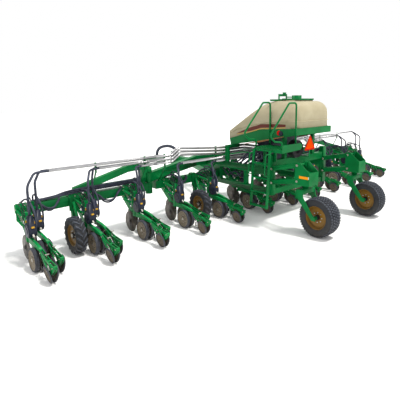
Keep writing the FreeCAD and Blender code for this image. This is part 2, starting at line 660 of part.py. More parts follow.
# ---------------------------------------------------------------- tongue
def tongue():
    half = BAR / 2
    z0, z1 = TONGUE_Z - TONGUE_H / 2, TONGUE_Z + TONGUE_H / 2
    main = box(-TONGUE_W / 2, TONGUE_W / 2, half, TONGUE_BEND_Y, z0, z1)
    nose = beam((0, TONGUE_BEND_Y - 10, TONGUE_Z), (0, HITCH_Y - 90, HITCH_Z), TONGUE_W, TONGUE_H, 150, 130)
    braces, risers, lugs = [], [], []
    for s in (-1, 1):
        root = s * BRACE_X
        braces.append(beam((root, half + 45, TONGUE_Z), (s * 90, BRACE_Y, TONGUE_Z), 90, 130))
        risers.append(box(root - 60, root + 60, half, half + 100, TONGUE_Z - 65, SIDE_TOP_Z - SIDE_TOP_H / 2))
        lug_z = HITCH_Z + s * 62
        lugs.append(box(-75, 75, HITCH_Y - 100, HITCH_Y + 60, lug_z - 13, lug_z + 13))
    drop = box(-90, 90, CARRIER_Y - 50, CARRIER_Y + 50, z1 - 5, CARRIER_Z - CARRIER_H / 2)
    jack_boss = rod((0, JACK_Y, JACK_PIN_Z), (JACK_X + 60, JACK_Y, JACK_PIN_Z), 45)
    jack_pin = rod((0, JACK_Y, JACK_PIN_Z), (JACK_X - 52, JACK_Y, JACK_PIN_Z), 24)
    jack_cap = rod((JACK_X - 47, JACK_Y, JACK_PIN_Z), (JACK_X - 58, JACK_Y, JACK_PIN_Z), 34)
    web = box(-75, 75, HITCH_Y - 110, HITCH_Y - 70, HITCH_Z - 75, HITCH_Z + 75)
    hole = rod((0, HITCH_Y, HITCH_Z - 120), (0, HITCH_Y, HITCH_Z + 120), PIN_R)
    clamp_y = HITCH_Y - 850
    slope = (HITCH_Z - TONGUE_Z) / (HITCH_Y - 90 - TONGUE_BEND_Y)
    clamp_z = z1 + slope * (clamp_y - TONGUE_BEND_Y) + 20
    clamp = box(-70, 70, clamp_y - 70, clamp_y + 70, clamp_z - 120, clamp_z)
    body = fuse(main, nose, braces, risers, drop, jack_boss, jack_pin, jack_cap, lugs, web, clamp).cut(hole)
    put("tongue", body)

    start_y = TONGUE_BEND_Y - 290
    bundle = bent_tube([(0, start_y, z1 + SEAT), (0, start_y, z1 + 200), (0, TONGUE_BEND_Y + 250, z1 + 330),
                        (0, clamp_y, clamp_z + 240), (0, clamp_y, clamp_z + SEAT)], BUNDLE_R, 260)
    put("hose_bundle", bundle)

    bore = rod((JACK_X - 80, JACK_Y, JACK_PIN_Z), (JACK_X + 90, JACK_Y, JACK_PIN_Z), 24 + RUNNING)
    tube = fuse(box(JACK_X - 40, JACK_X + 40, JACK_Y - 40, JACK_Y + 40, 330, 1060),
                rod((JACK_X - 46, JACK_Y, JACK_PIN_Z), (JACK_X + 59, JACK_Y, JACK_PIN_Z), 55),
                rod((JACK_X, JACK_Y - 20, 1020), (JACK_X, JACK_Y - 130, 1020), 16)).cut(bore)
    leg = fuse(box(JACK_X - 31, JACK_X + 31, JACK_Y - 31, JACK_Y + 31, 15, 330),
               box(JACK_X - 110, JACK_X + 110, JACK_Y - 110, JACK_Y + 110, 0, 16))
    put("jack_tube", tube)
    put("jack_leg", leg)


# ---------------------------------------------------------------- tank
def tank_solid(wall):
    """The tank's outside shrunk by wall on every side: its side outline within a round-shouldered tunnel."""
    w = TANK_W / 2 - wall
    front, rear = TANK_FRONT_Y - wall, TANK_REAR_Y + wall
    top = TANK_TOP_Z - wall
    outline = [(front, TANK_Z_FRONT + wall), (front, TANK_Z_FRONT + TANK_NOSE - wall / 2), (TANK_TOP_Y, top),
               (rear, top), (rear, TANK_Z_REAR + wall), (TANK_KNEE[0], TANK_KNEE[1] + wall)]
    body = plate_yz(outline, -w, w)

    shoulder = TANK_EDGE_R - wall
    start = front + 10
    low = TANK_Z_FRONT - 50
    lean = shoulder * math.sin(math.pi / 4)
    edges = [Part.makeLine(V(-w, start, low), V(w, start, low)),
             Part.makeLine(V(-w + shoulder, start, top), V(w - shoulder, start, top))]
    for s in (-1, 1):
        centre_x, centre_z = s * (w - shoulder), top - shoulder
        edges.append(Part.makeLine(V(s * w, start, low), V(s * w, start, centre_z)))
        edges.append(Part.Arc(V(s * w, start, centre_z), V(centre_x + s * lean, start, centre_z + lean),
                              V(centre_x, start, top)).toShape())
    tunnel = Part.Face(Part.Wire(Part.__sortEdges__(edges))).extrude(V(0, rear - front - 20, 0))
    return body.common(tunnel)


def rounded_rear(body, wall):
    """Rounds the upright and upper edges of the tank's rear end."""
    rear = TANK_REAR_Y + wall
    rear_edges = [e for e in body.Edges
                  if abs(e.BoundBox.YMin - rear) < 1 and abs(e.BoundBox.YMax - rear) < 1
                  and e.BoundBox.ZMax > TANK_Z_REAR + 50]
    return body.makeFillet(TANK_REAR_R - wall, rear_edges)


def fill_box(margin, z0, z1):
    """A box over the fill opening, larger by margin on each side."""
    half_x, half_y = FILL_X / 2 + margin, FILL_Y / 2 + margin
    return box(-half_x, half_x, FILL_MID_Y - half_y, FILL_MID_Y + half_y, z0, z1)


def tank():
    outer = rounded_rear(tank_solid(0.0), 0.0)
    inner = rounded_rear(tank_solid(TANK_WALL), TANK_WALL)
    opening = fill_box(0, TANK_TOP_Z - 60, TANK_TOP_Z + 60)
    collar = fill_box(24, TANK_TOP_Z - 10, TANK_TOP_Z + LID_LIFT)
    put("tank", fuse(outer, collar).cut(inner).cut(opening))

    w = TANK_W / 2 - 12
    nose_y, tail_y, toe_y = TANK_FRONT_Y + 6, TANK_REAR_Y - 6, TANK_FRONT_Y - 40
    outline = [(nose_y, tank_bottom(nose_y) - SEAT), (TANK_KNEE[0], TANK_KNEE[1] - SEAT),
               (tail_y, tank_bottom(tail_y) - SEAT),
               (tail_y, cradle_bottom(tail_y)), (toe_y, cradle_bottom(toe_y))]
    shell = plate_yz(outline, -w - 4, w + 4)
    hollow = plate_yz([(TANK_FRONT_Y - 40, TANK_Z_REAR + 80), (TANK_REAR_Y + 6, TANK_Z_REAR + 80),
                       (TANK_REAR_Y + 6, CRADLE_REAR_Z - 60), (TANK_FRONT_Y - 60, CRADLE_FRONT_Z - 60)],
                      -w + 8, w - 8)
    ribs = [box(-w, w, y - 5, y + 5, cradle_bottom(y) + 10, tank_bottom(y) - 8) for y in (-420, -2000)]
    put("tank_cradle", fuse(shell.cut(hollow), ribs))

    hinge_y = FILL_MID_Y + FILL_Y / 2 + HINGE_OUT
    lid_z = TANK_TOP_Z + LID_LIFT
    hinge_z = lid_z + 16
    lid = fuse(fill_box(38, lid_z + SEAT, lid_z + 34),
               box(-60, 60, FILL_MID_Y - 60, FILL_MID_Y + 60, lid_z + 34, lid_z + 110),
               rod((-150, hinge_y, hinge_z), (150, hinge_y, hinge_z), 12),
               box(-140, 140, hinge_y - 30, hinge_y + 2, hinge_z - 10, hinge_z + 10))
    put("tank_lid", lid)

    bar_y = hinge_y + 30
    bar = box(-630, 630, bar_y, bar_y + 40, TANK_TOP_Z + SEAT, TANK_TOP_Z + 40)
    ears = [fuse(box(s * 162 - 8, s * 162 + 8, hinge_y - 13, bar_y + 5, TANK_TOP_Z + 10, hinge_z + 13),
                 rod((s * (150 + SEAT), hinge_y, hinge_z), (s * 168, hinge_y, hinge_z), 12)) for s in (-1, 1)]
    hoop_z = TANK_TOP_Z + 165
    hoop = box(-340, -30, bar_y + 10, bar_y + 34, TANK_TOP_Z + 20, hoop_z)
    hoop = hoop.cut(box(-310, -60, bar_y, bar_y + 50, TANK_TOP_Z + 45, hoop_z - 55))
    knob = box(-170, -70, bar_y + 8, bar_y + 36, hoop_z - 10, hoop_z + 40)
    tab = box(190, 260, bar_y + 5, bar_y + 35, TANK_TOP_Z + 20, TANK_TOP_Z + 135)
    rail = box(-60, 200, bar_y + 10, bar_y + 34, TANK_TOP_Z + 78, TANK_TOP_Z + 104)
    put("tank_rack", fuse(bar, ears, hoop, knob, tab, rail))

    box_front, box_rear = METER_BOX_Y
    funnel = plate_yz([(-500, tank_bottom(-500)), TANK_KNEE, (-1900, tank_bottom(-1900)),
                       (box_rear, METER_BOX_Z[1]),
                       (box_rear, METER_BOX_Z[0]), (box_front, METER_BOX_Z[0]), (box_front, METER_BOX_Z[1])],
                      -METER_BOX_HALF, METER_BOX_HALF)
    put("tank_hopper", funnel)

    fan_and_sign()


def fan_and_sign():
    x, y, z = FAN_PLACE
    housing = ring((x, y - 70, z), (x, y + 90, z), FAN_R, 110)
    motor = rod((x, y - 20, z), (x, y + 130, z), 125)
    stand = box(x - 60, x + 60, y - 20, y + 80, REAR_BEAM_TOP, z - 150)
    foot = box(x - 60, x + 60, y - 20, y + 130, REAR_BEAM_TOP, REAR_BEAM_TOP + 14)
    put("fan", fuse(housing, motor, stand, foot))

    half, corner = SIGN_W / 2, 15
    sign = plate_xz([(-half + corner, SIGN_Z[0]), (half - corner, SIGN_Z[0]), (half, SIGN_Z[0] + 2 * corner),
                     (20, SIGN_Z[1]), (-20, SIGN_Z[1]), (-half, SIGN_Z[0] + 2 * corner)], SIGN_Y, SIGN_Y - 3)
    stem = fuse(box(-25, 25, SIGN_Y, SIGN_Y + 18, REAR_BEAM_TOP, SIGN_Z[1] - 105),
                box(-25, 25, SIGN_Y, POST_Y + 20, REAR_BEAM_TOP, REAR_BEAM_TOP + 18))
    put("warning_sign", sign)
    put("sign_stem", stem)


# ---------------------------------------------------------------- platform, rails, ladder
def platform():
    """Step deck beside the tank with a round-ended rear plate, its props and the ladder's hinge rod."""
    x0, x1 = DECK_X
    y0, y1 = DECK_Y
    under = DECK_Z - DECK_T
    lip_z = DECK_Z - 80
    parts = [box(x0, x1, y0, y1, under, DECK_Z),
             box(x0, x0 + 8, y0, y1, lip_z, DECK_Z),
             box(x0, x1, y0, y0 + 8, lip_z, DECK_Z),
             plate_xz([(x0, lip_z), (x1 + 110, 1690), (x1 + 170, 1735), (x1 + 170, 1800), (x1 + 120, 1840),
                       (x0, 1840)], y1, y1 - 10),
             box(-SIDE_X - 45, -SIDE_X + 15, -1680, -1740, SIDE_TOP_Z + SIDE_TOP_H / 2, under)]
    post_back = POST_Y - POST / 2
    parts.append(box(-CASTER_X - 25, -CASTER_X + 25, post_back, post_back - 60, POST_TOP - 160, under))
    hinge_z = LADDER_TOP[1]
    front, rear = LADDER_Y
    parts.append(rod((HINGE_X, front + 10, hinge_z), (HINGE_X, rear - 10, hinge_z), LADDER_PIN_R))
    for y in (front - 90, (front + rear) / 2, rear + 90):
        parts.append(box(HINGE_X - 16, x0 + 4, y - 8, y + 8, hinge_z - 20, hinge_z + 20))
    put("platform", fuse(parts))

    rails = []
    foot = DECK_Z + SEAT
    for y in RAIL_Y:
        route = [(x0 + 28, foot), (x0 + 28, 1905), (x0 - 210, 1935), (x0 - 370, 2060),
                 (RAIL_IN_X - 250, RAIL_TOP), (RAIL_IN_X, RAIL_TOP), (RAIL_IN_X, foot)]
        rails.append(bent_tube([(x, y, z) for x, z in route], RAIL_R, 70))
    put("handrails", rails)
    put("ladder", ladder())


def ladder():
    """Two sloping stiles with steps between, hinge eyes at the top and a hand loop on each stile."""
    top_x, top_z = LADDER_TOP
    foot_x, foot_z = LADDER_FOOT
    lean = (foot_x - top_x) / (foot_z - top_z)
    front, rear = LADDER_Y
    parts = []
    for y in LADDER_Y:
        parts.append(plate_xz([(top_x - STILE_W / 2, top_z + 20), (top_x + 30, top_z + 20),
                               (foot_x + STILE_W / 2, foot_z), (foot_x - STILE_W / 2, foot_z)],
                              y - STILE_T / 2, y + STILE_T / 2))
        parts.append(rod((HINGE_X, y - 6, top_z), (HINGE_X, y + 6, top_z), 26))
        parts.append(box(top_x, HINGE_X - 18, y - 6, y + 6, top_z - 14, top_z + 14))
    for i in range(LADDER_STEPS):
        down = (i + 1.0) / LADDER_STEPS
        x = top_x + (foot_x - top_x) * down
        z = top_z + (foot_z - top_z) * down + 20
        parts.append(box(x - 45, x + 45, front, rear, z, z + 28))
    solid = fuse(parts)
    for y in LADDER_Y:
        solid = solid.cut(rod((HINGE_X, y - 40, top_z), (HINGE_X, y + 40, top_z), LADDER_PIN_R + RUNNING))
    loops = []
    high, low = top_z - 50, top_z - 520
    x1, x2 = top_x + lean * (high - top_z), top_x + lean * (low - top_z)
    for y in LADDER_Y:
        route = [(x1, high), (x1 - 140, high - 10), (x2 - 140, low), (x2, low - 10)]
        loops.append(bent_tube([(x, y, z) for x, z in route], 13, 60))
    return fuse(solid, loops)


# ---------------------------------------------------------------- casters
def caster_links(x):
    """Four link bars of one caster, each cut to seat round its two pins."""
    links = []
    for z_front, z_rear in zip(LINK_FRONT_Z, LINK_REAR_Z):
        for side in (-1, 1):
            bar_x = x + side * LINK_X
            bar = beam((bar_x, LINK_FRONT_Y + 40, z_front), (bar_x, LINK_REAR_Y - 40, z_rear), LINK_T, LINK_H)
            for y, z in ((LINK_FRONT_Y, z_front), (LINK_REAR_Y, z_rear)):
                bar = bar.cut(rod((bar_x - 30, y, z), (bar_x + 30, y, z), LINK_PIN_R + SEAT))
            links.append(bar)
    return links


def caster_head(x):
    """Cheek plates, decks and barrel that hold the swivel pin."""
    nose, tail = CASTER_Y + HEAD_NOSE, CASTER_Y - HEAD_TAIL
    half = HEAD_X + HEAD_T / 2
    cheek = [(nose, HEAD_LOW), (nose, 1500), (nose - 130, 1510), (tail, HEAD_TOP), (tail, HEAD_LOW)]
    parts = [plate_yz(cheek, x + side * HEAD_X, x + side * (HEAD_X + HEAD_T)) for side in (-1, 1)]
    parts.append(rod((x, CASTER_Y, SWIVEL_Z + 20), (x, CASTER_Y, SWIVEL_TOP), 72))
    for z in (HEAD_LOW, 1270):
        parts.append(box(x - half, x + half, CASTER_Y + 70, tail, z, z + 18))
    parts.append(box(x - half, x + half, tail + 15, tail, HEAD_LOW, HEAD_TOP))
    for z in LINK_REAR_Z:
        parts.append(rod((x - half, LINK_REAR_Y, z), (x + half, LINK_REAR_Y, z), LINK_PIN_R))
    bore = rod((x, CASTER_Y, SWIVEL_Z - 50), (x, CASTER_Y, SWIVEL_TOP + 100), SWIVEL_R + RUNNING)
    return fuse(parts).cut(bore)


def caster_fork(x):
    """Swivel pin, crown, two trailing legs and the axle between them."""
    axle_y = CASTER_Y - CASTER_TRAIL
    outer = CASTER_W / 2 + 55
    crown_z = SWIVEL_Z - 25
    parts = [rod((x, CASTER_Y, crown_z - 60), (x, CASTER_Y, SWIVEL_TOP + 10), SWIVEL_R),
             rod((x, CASTER_Y, SWIVEL_TOP + 0.6), (x, CASTER_Y, SWIVEL_TOP + 18), 66),
             box(x - outer, x + outer, CASTER_Y - 75, CASTER_Y + 75, crown_z - 100, crown_z),
             rod((x, CASTER_Y, crown_z - 10), (x, CASTER_Y, SWIVEL_Z + 19.5), 72)]
    for side in (-1, 1):
        leg = [(CASTER_Y + 75, crown_z), (CASTER_Y - 75, crown_z), (CASTER_Y - 100, crown_z - 160),
               (axle_y + 25, CASTER_R + 60), (axle_y - 45, CASTER_R + 20), (axle_y - 45, CASTER_R - 45),
               (axle_y + 45, CASTER_R - 45), (CASTER_Y + 45, crown_z - 180)]
        parts.append(plate_yz(leg, x + side * (outer - 27), x + side * outer))
    parts.append(rod((x - outer, axle_y, CASTER_R), (x + outer, axle_y, CASTER_R), CASTER_AXLE_R))
    return fuse(parts)


def casters():
    links, heads = [], []
    for label, s in (("left", -1), ("right", 1)):
        x = s * CASTER_X
        axle_y = CASTER_Y - CASTER_TRAIL
        links += caster_links(x)
        heads.append(caster_head(x))
        put(label + "_caster_fork", caster_fork(x))
        put(label + "_caster_tyre", caster_tyre(x, axle_y, CASTER_R))
        put(label + "_caster_rim", rim(x, axle_y, CASTER_R, CASTER_RIM_R, 140, CASTER_AXLE_R, 90, -1))
    put("caster_links", links)
    put("caster_heads", heads)


# ---------------------------------------------------------------- centre seed lines
def centre_lines():
    """Pipes from the fold pins and the centre rows in to the seed box, and the hoses of the centre rows."""
    pipes, hoses = [], []
    box_face = METER_BOX_Y[0] + SEAT
    for s in (-1, 1):
        for level in range(-2, WING_ROWS):
            z = pipe_height(level)
            rise = PIPE_RISE if level >= 0 else 0.0
            inner_z = z + rise - (PIPE_FALL if level >= 0 else 0.0)
            row = s * (PIVOT_X - (0.5 if level == -1 else 1.5) * ROW_PITCH)
            tip = row - s * 200
            for k, y in enumerate((PIPE_Y, PIPE_Y - PIPE_PAIR)):
                column = s * (240 + 90 * k)
                inner = [(s * 1150, y, inner_z), (column, y, inner_z), (column, box_face, inner_z)]
                if level >= 0:
                    outer = [(s * (PIVOT_X - 5), y, z), (s * (PIVOT_X - 420), y, z),
                             (s * (PIVOT_X - 620), y, z + rise)]
                    pipes.append(bent_tube(outer + inner, PIPE_R, 110))
                else:
                    pipes.append(bent_tube([(tip, y, z)] + inner[1:], PIPE_R, 110))
            if level < 0:
                hoses += drop_hoses(tip, z, row, s)
    for row in (-ROW_PITCH / 2, ROW_PITCH / 2):
        s = 1 if row > 0 else -1
        for back, side, z in ((0.0, -1, 1300), (STAGGER, 1, 1390)):
            x = row + side * TWIN_SPACING / 2
            y = UNIT_METER_Y + back - 2
            hoses.append(bent_tube([(x, y, METER_TOP + SEAT), (x, y, 1110), (s * 392, y - 170, z),
                                    (s * 392, box_face, z)], HOSE_R, 140))
    put("centre_seed_pipes", pipes)
    put("centre_seed_hoses", hoses)


def main():
    centre()
    tongue()
    tank()
    platform()
    casters()
    wing("left_wing", False)
    wing("right_wing", True)
    lift_wheel("left_wing", -LUG_X[0])
    lift_wheel("right_wing", LUG_X[0])
    lift_wheel("left_centre", -LUG_X[1])
    lift_wheel("right_centre", LUG_X[1])
    put("centre_lift_arms", both_sides(lift_wheel_arm(-LUG_X[1])))
    row_units("left_wing", 0, WING_ROWS)
    row_units("centre", WING_ROWS, CENTRE_ROWS)
    row_units("right_wing", WING_ROWS + CENTRE_ROWS, WING_ROWS)
    centre_lines()

    os.makedirs("parts", exist_ok=True)
    for name, solids in shapes.items():
        for solid in solids:
            if not solid.isValid() or solid.Volume <= 0:
                print("bad solid in", name, solid.isValid(), solid.Volume)
        shape = Part.makeCompound(solids) if len(solids) > 1 else solids[0]
        shape = shape.copy()
        shape.translate(V(0, ORIGIN_Y, 0))
        shape.exportStep(os.path.join("parts", name + ".step"))
    print(len(shapes), "nodes; origin shift", round(ORIGIN_Y, 1))


main()
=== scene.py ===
import json
import math

import bmesh
import bpy
from mathutils import Euler, Matrix, Vector
from mathutils.bvhtree import BVHTree


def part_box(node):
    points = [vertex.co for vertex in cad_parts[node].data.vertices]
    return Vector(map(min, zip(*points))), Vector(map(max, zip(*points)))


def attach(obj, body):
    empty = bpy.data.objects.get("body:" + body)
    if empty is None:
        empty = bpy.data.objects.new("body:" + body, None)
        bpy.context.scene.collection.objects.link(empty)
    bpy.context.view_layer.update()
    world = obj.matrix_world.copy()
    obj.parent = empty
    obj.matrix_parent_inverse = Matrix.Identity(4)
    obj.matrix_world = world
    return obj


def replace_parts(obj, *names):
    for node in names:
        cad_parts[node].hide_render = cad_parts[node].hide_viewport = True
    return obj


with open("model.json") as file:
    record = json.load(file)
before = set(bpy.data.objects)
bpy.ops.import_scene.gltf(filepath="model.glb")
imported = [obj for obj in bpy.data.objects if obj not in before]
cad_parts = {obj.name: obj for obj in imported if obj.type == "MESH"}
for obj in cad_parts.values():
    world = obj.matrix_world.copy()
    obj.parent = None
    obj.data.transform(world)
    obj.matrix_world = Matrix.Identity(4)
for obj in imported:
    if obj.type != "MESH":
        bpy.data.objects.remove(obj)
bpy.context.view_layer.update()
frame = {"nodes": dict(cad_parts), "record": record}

# ---------------- sizes taken from the frame
ROW_PITCH = 1.016  # between twin rows
TWIN_SPACING = 0.203  # between the two units of a twin row
STAGGER = 0.280  # how far forward the right-hand unit of a twin row is set
BODIES_BY_ROW = ["left_wing"] * 3 + ["machine"] * 6 + ["right_wing"] * 3
BAR_LOW, BAR_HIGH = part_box("centre_toolbar")
BAR_Y = (BAR_LOW.y + BAR_HIGH.y) / 2  # toolbar centre line; rows are placed from here
BODY_OF = {node: body for body, nodes in frame["record"]["behaviour"]["bodies"].items() for node in nodes}
SIDES = (-1, 1)  # left, right


def row_x(row):
    return (row - (len(BODIES_BY_ROW) - 1) / 2) * ROW_PITCH


def units():
    """(body, lateral place, distance set forward) of each of the 24 row units."""
    found = []
    for row, body in enumerate(BODIES_BY_ROW):
        for side, forward in ((-1, 0.0), (1, STAGGER)):
            found.append((body, row_x(row) + side * TWIN_SPACING / 2, forward))
    return found


def by_body(places_of_unit):
    """Groups what places_of_unit(x, forward) returns by the body each row unit rides on."""
    grouped = {}
    for body, x, forward in units():
        grouped.setdefault(body, []).extend(places_of_unit(x, forward))
    return grouped


def section_of(body):
    """The row nodes' name for a body's part of the toolbar."""
    return "centre" if body == "machine" else body


def at(x, y, z):
    """A point from its distances to the machine's middle, the toolbar's centre line and the floor."""
    return Vector((x, BAR_Y + y, z))


def round_the_circle(count, shift=0.0):
    """Evenly spaced angles, turned on by a share of one step."""
    return [2 * math.pi * (k + shift) / count for k in range(count)]


# ---------------- materials
class Finish:
    """A node material under construction; patterns read Object coordinates."""

    def __init__(self, name):
        self.material = bpy.data.materials.new(name)
        self.material.use_nodes = True
        self.nodes = self.material.node_tree.nodes
        self.links = self.material.node_tree.links
        self.shader = self.nodes["Principled BSDF"]
        self.coords = self.nodes.new("ShaderNodeTexCoord").outputs["Object"]

    def set(self, **values):
        """Sets the shader's own sockets."""
        for key, value in values.items():
            self.shader.inputs[key.replace("_", " ")].default_value = value
        return self

    def noise(self, scale, detail=4.0, rough=0.55, stretch=(1, 1, 1)):
        """Cloudy pattern, finer with a larger scale."""
        mapping = self.nodes.new("ShaderNodeMapping")
        mapping.inputs["Scale"].default_value = stretch
        self.links.new(self.coords, mapping.inputs["Vector"])
        node = self.nodes.new("ShaderNodeTexNoise")
        node.inputs["Scale"].default_value = scale
        node.inputs["Detail"].default_value = detail
        node.inputs["Roughness"].default_value = rough
        self.links.new(mapping.outputs["Vector"], node.inputs["Vector"])
        return node.outputs["Fac"]

    def ramp(self, source, low, high, start, end):
        """Blends from start to end colour as source goes from low to high."""
        node = self.nodes.new("ShaderNodeValToRGB")
        node.color_ramp.elements[0].position = low
        node.color_ramp.elements[1].position = high
        node.color_ramp.elements[0].color = (*start, 1)
        node.color_ramp.elements[1].color = (*end, 1)
        self.links.new(source, node.inputs["Fac"])
        return node.outputs["Color"]

    def mix(self, fac, a, b):
        """Colour a turned into colour b as fac goes from 0 to 1."""
        node = self.nodes.new("ShaderNodeMix")
        node.data_type = "RGBA"
        for socket, value in ((node.inputs[0], fac), (node.inputs[6], a), (node.inputs[7], b)):
            if isinstance(value, (float, int)):
                socket.default_value = value
            elif isinstance(value, tuple):
                socket.default_value = (*value, 1)
            else:
                self.links.new(value, socket)
        return node.outputs[2]

    def low_dust(self, colour, dust, top, strength):
        """Dust that thins out from the floor up to the height top, broken up by noise."""
        split = self.nodes.new("ShaderNodeSeparateXYZ")
        self.links.new(self.coords, split.inputs[0])
        fade = self.nodes.new("ShaderNodeMapRange")
        fade.inputs["From Min"].default_value = top
        fade.inputs["From Max"].default_value = 0.0
        fade.inputs["To Max"].default_value = strength
        self.links.new(split.outputs["Z"], fade.inputs["Value"])
        cloud = self.nodes.new("ShaderNodeMath")
        cloud.operation = "MULTIPLY"
        self.links.new(fade.outputs[0], cloud.inputs[0])
        self.links.new(self.noise(9.0, 6.0), cloud.inputs[1])
        return self.mix(cloud.outputs[0], colour, dust)

    def colour(self, source):
        self.links.new(source, self.shader.inputs["Base Color"])
        return self

    def rough(self, source, low, high):
        """Roughness between low and high, following source."""
        node = self.nodes.new("ShaderNodeMapRange")
        node.inputs["To Min"].default_value = low
        node.inputs["To Max"].default_value = high
        self.links.new(source, node.inputs["Value"])
        self.links.new(node.outputs[0], self.shader.inputs["Roughness"])
        return self

    def bump(self, source, strength, distance):
        """Fine relief; anything that shows as shape is in the mesh."""
        node = self.nodes.new("ShaderNodeBump")
        node.inputs["Strength"].default_value = strength
        node.inputs["Distance"].default_value = distance
        self.links.new(source, node.inputs["Height"])
        self.links.new(node.outputs[0], self.shader.inputs["Normal"])
        return self


DUST = (0.30, 0.25, 0.18)


def painted(name, base, shade, dust_top, dust):
    """Paint in two blotchy tones with dust near the floor."""
    finish = Finish(name)
    blotch = finish.noise(2.3, 5.0)
    tone = finish.ramp(blotch, 0.35, 0.7, shade, base)
    finish.colour(finish.low_dust(tone, DUST, dust_top, dust))
    finish.rough(finish.noise(14.0, 6.0), 0.28, 0.5)
    finish.bump(finish.noise(240.0, 2.0), 0.06, 0.0006)
    finish.set(Specular_IOR_Level=0.1, Coat_Weight=0.03, Coat_Roughness=0.3)
    return finish.material


def rubber(name, base, worn, dust_top, dust):
    """Matt rubber, greyer where worn."""
    finish = Finish(name)
    tone = finish.ramp(finish.noise(7.0, 6.0, 0.65), 0.35, 0.75, base, worn)
    finish.colour(finish.low_dust(tone, DUST, dust_top, dust))
    finish.rough(finish.noise(30.0, 4.0), 0.62, 0.9)
    finish.bump(finish.noise(160.0, 3.0), 0.25, 0.001)
    return finish.material


def bare_metal(name, base, stain, roughness, dust_top, dust, stretch=(1, 1, 1)):
    """Unpainted metal with darker stains, drawn out along an axis by stretch."""
    finish = Finish(name)
    tone = finish.ramp(finish.noise(11.0, 6.0, 0.6, stretch), 0.35, 0.72, stain, base)
    finish.colour(finish.low_dust(tone, DUST, dust_top, dust))
    finish.rough(finish.noise(26.0, 5.0, 0.6, stretch), *roughness)
    finish.bump(finish.noise(300.0, 2.0, 0.5, stretch), 0.08, 0.0004)
    finish.set(Metallic=1.0)
    return finish.material


def moulded(name, base, shade, roughness, grain, dust_top=0.0, dust=0.0, gloss=0.22):
    """Moulded plastic or film; a larger grain number is a finer surface."""
    finish = Finish(name)
    tone = finish.ramp(finish.noise(3.1, 6.0, 0.6), 0.3, 0.75, shade, base)
    if dust:
        tone = finish.low_dust(tone, DUST, dust_top, dust)
    finish.colour(tone)
    finish.rough(finish.noise(18.0, 4.0), *roughness)
    finish.bump(finish.noise(grain, 4.0), 0.12, 0.0012)
    finish.set(Specular_IOR_Level=gloss)
    return finish.material


FRAME_GREEN = painted("frame_green", (0.001, 0.178, 0.042), (0.0008, 0.118, 0.027), 0.5, 0.12)
UNIT_GREEN = painted("unit_green", (0.0015, 0.250, 0.058), (0.001, 0.155, 0.035), 0.4, 0.12)
RIM_GOLD = painted("rim_gold", (0.24, 0.125, 0.016), (0.14, 0.070, 0.010), 0.7, 0.3)
TYRE = rubber("tyre_rubber", (0.024, 0.029, 0.040), (0.070, 0.080, 0.105), 0.5, 0.15)
# Carcass rubber, painted darker than the tread rubber: painted shade in the grooves, which the sidewalls take too
TYRE_GROOVE_SHADE = rubber("tyre_groove_rubber", (0.008, 0.009, 0.012), (0.022, 0.025, 0.031), 0.5, 0.15)
HOSE = rubber("hose_rubber", (0.012, 0.016, 0.030), (0.050, 0.060, 0.095), 0.3, 0.1)
WIRE = rubber("wire_sleeve", (0.006, 0.007, 0.012), (0.022, 0.026, 0.040), 0.3, 0.1)
TANK_TAN = moulded("tank_tan", (0.43, 0.385, 0.255), (0.355, 0.31, 0.195), (0.42, 0.55), 60.0)
BAND_BROWN = moulded("band_brown", (0.125, 0.022, 0.012), (0.095, 0.016, 0.009), (0.35, 0.5), 200.0)
BAND_GOLD = moulded("band_gold", (0.62, 0.36, 0.035), (0.50, 0.27, 0.025), (0.35, 0.5), 200.0)
SILL_OCHRE = moulded("sill_ochre", (0.26, 0.13, 0.045), (0.20, 0.095, 0.03), (0.4, 0.5), 200.0)
BLACK_PLASTIC = moulded("black_plastic", (0.018, 0.024, 0.046), (0.006, 0.008, 0.016), (0.3, 0.48), 120.0, 0.6, 0.08)
BLACK_PAINT = painted("black_paint", (0.02, 0.02, 0.022), (0.01, 0.01, 0.012), 0.6, 0.1)
STAINLESS = bare_metal("stainless", (0.60, 0.60, 0.61), (0.36, 0.36, 0.37), (0.22, 0.38), 0.5, 0.1, (0.4, 3, 3))
ZINC = bare_metal("zinc_fasteners", (0.62, 0.60, 0.54), (0.36, 0.34, 0.30), (0.28, 0.45), 0.5, 0.2)
DISC_STEEL = bare_metal("disc_steel", (0.13, 0.125, 0.12), (0.060, 0.050, 0.040), (0.35, 0.55), 0.4, 0.25)
DARK_STEEL = bare_metal("dark_steel", (0.085, 0.085, 0.09), (0.045, 0.040, 0.036), (0.4, 0.6), 0.4, 0.25)
CANISTER_BLUE = painted("canister_blue", (0.085, 0.115, 0.230), (0.050, 0.070, 0.150), 0.5, 0.12)
WHEEL_GREY = moulded("gauge_wheel_grey", (0.205, 0.172, 0.122), (0.120, 0.098, 0.070), (0.45, 0.65), 100.0, 0.4, 0.25)
SMALL_TYRE = rubber("unit_tyre_rubber", (0.016, 0.019, 0.028), (0.050, 0.057, 0.080), 0.35, 0.15)
CAST_BROWN = moulded("cast_brown", (0.105, 0.080, 0.052), (0.045, 0.036, 0.026), (0.5, 0.7), 80.0, 0.3, 0.3)
SIGN_ORANGE = moulded("sign_orange", (0.90, 0.075, 0.0), (0.84, 0.065, 0.0), (0.5, 0.6), 300.0, gloss=0.02)
SIGN_RED = moulded("sign_red", (0.62, 0.008, 0.002), (0.54, 0.006, 0.002), (0.4, 0.5), 300.0, gloss=0.05)
AMBER = moulded("amber_reflector", (0.90, 0.33, 0.01), (0.82, 0.27, 0.008), (0.2, 0.3), 400.0)
CLIP_YELLOW = moulded("clip_yellow", (0.62, 0.36, 0.03), (0.45, 0.25, 0.02), (0.35, 0.5), 150.0)
CLIP_WHITE = moulded("clip_white", (0.62, 0.60, 0.55), (0.45, 0.43, 0.39), (0.35, 0.5), 150.0)


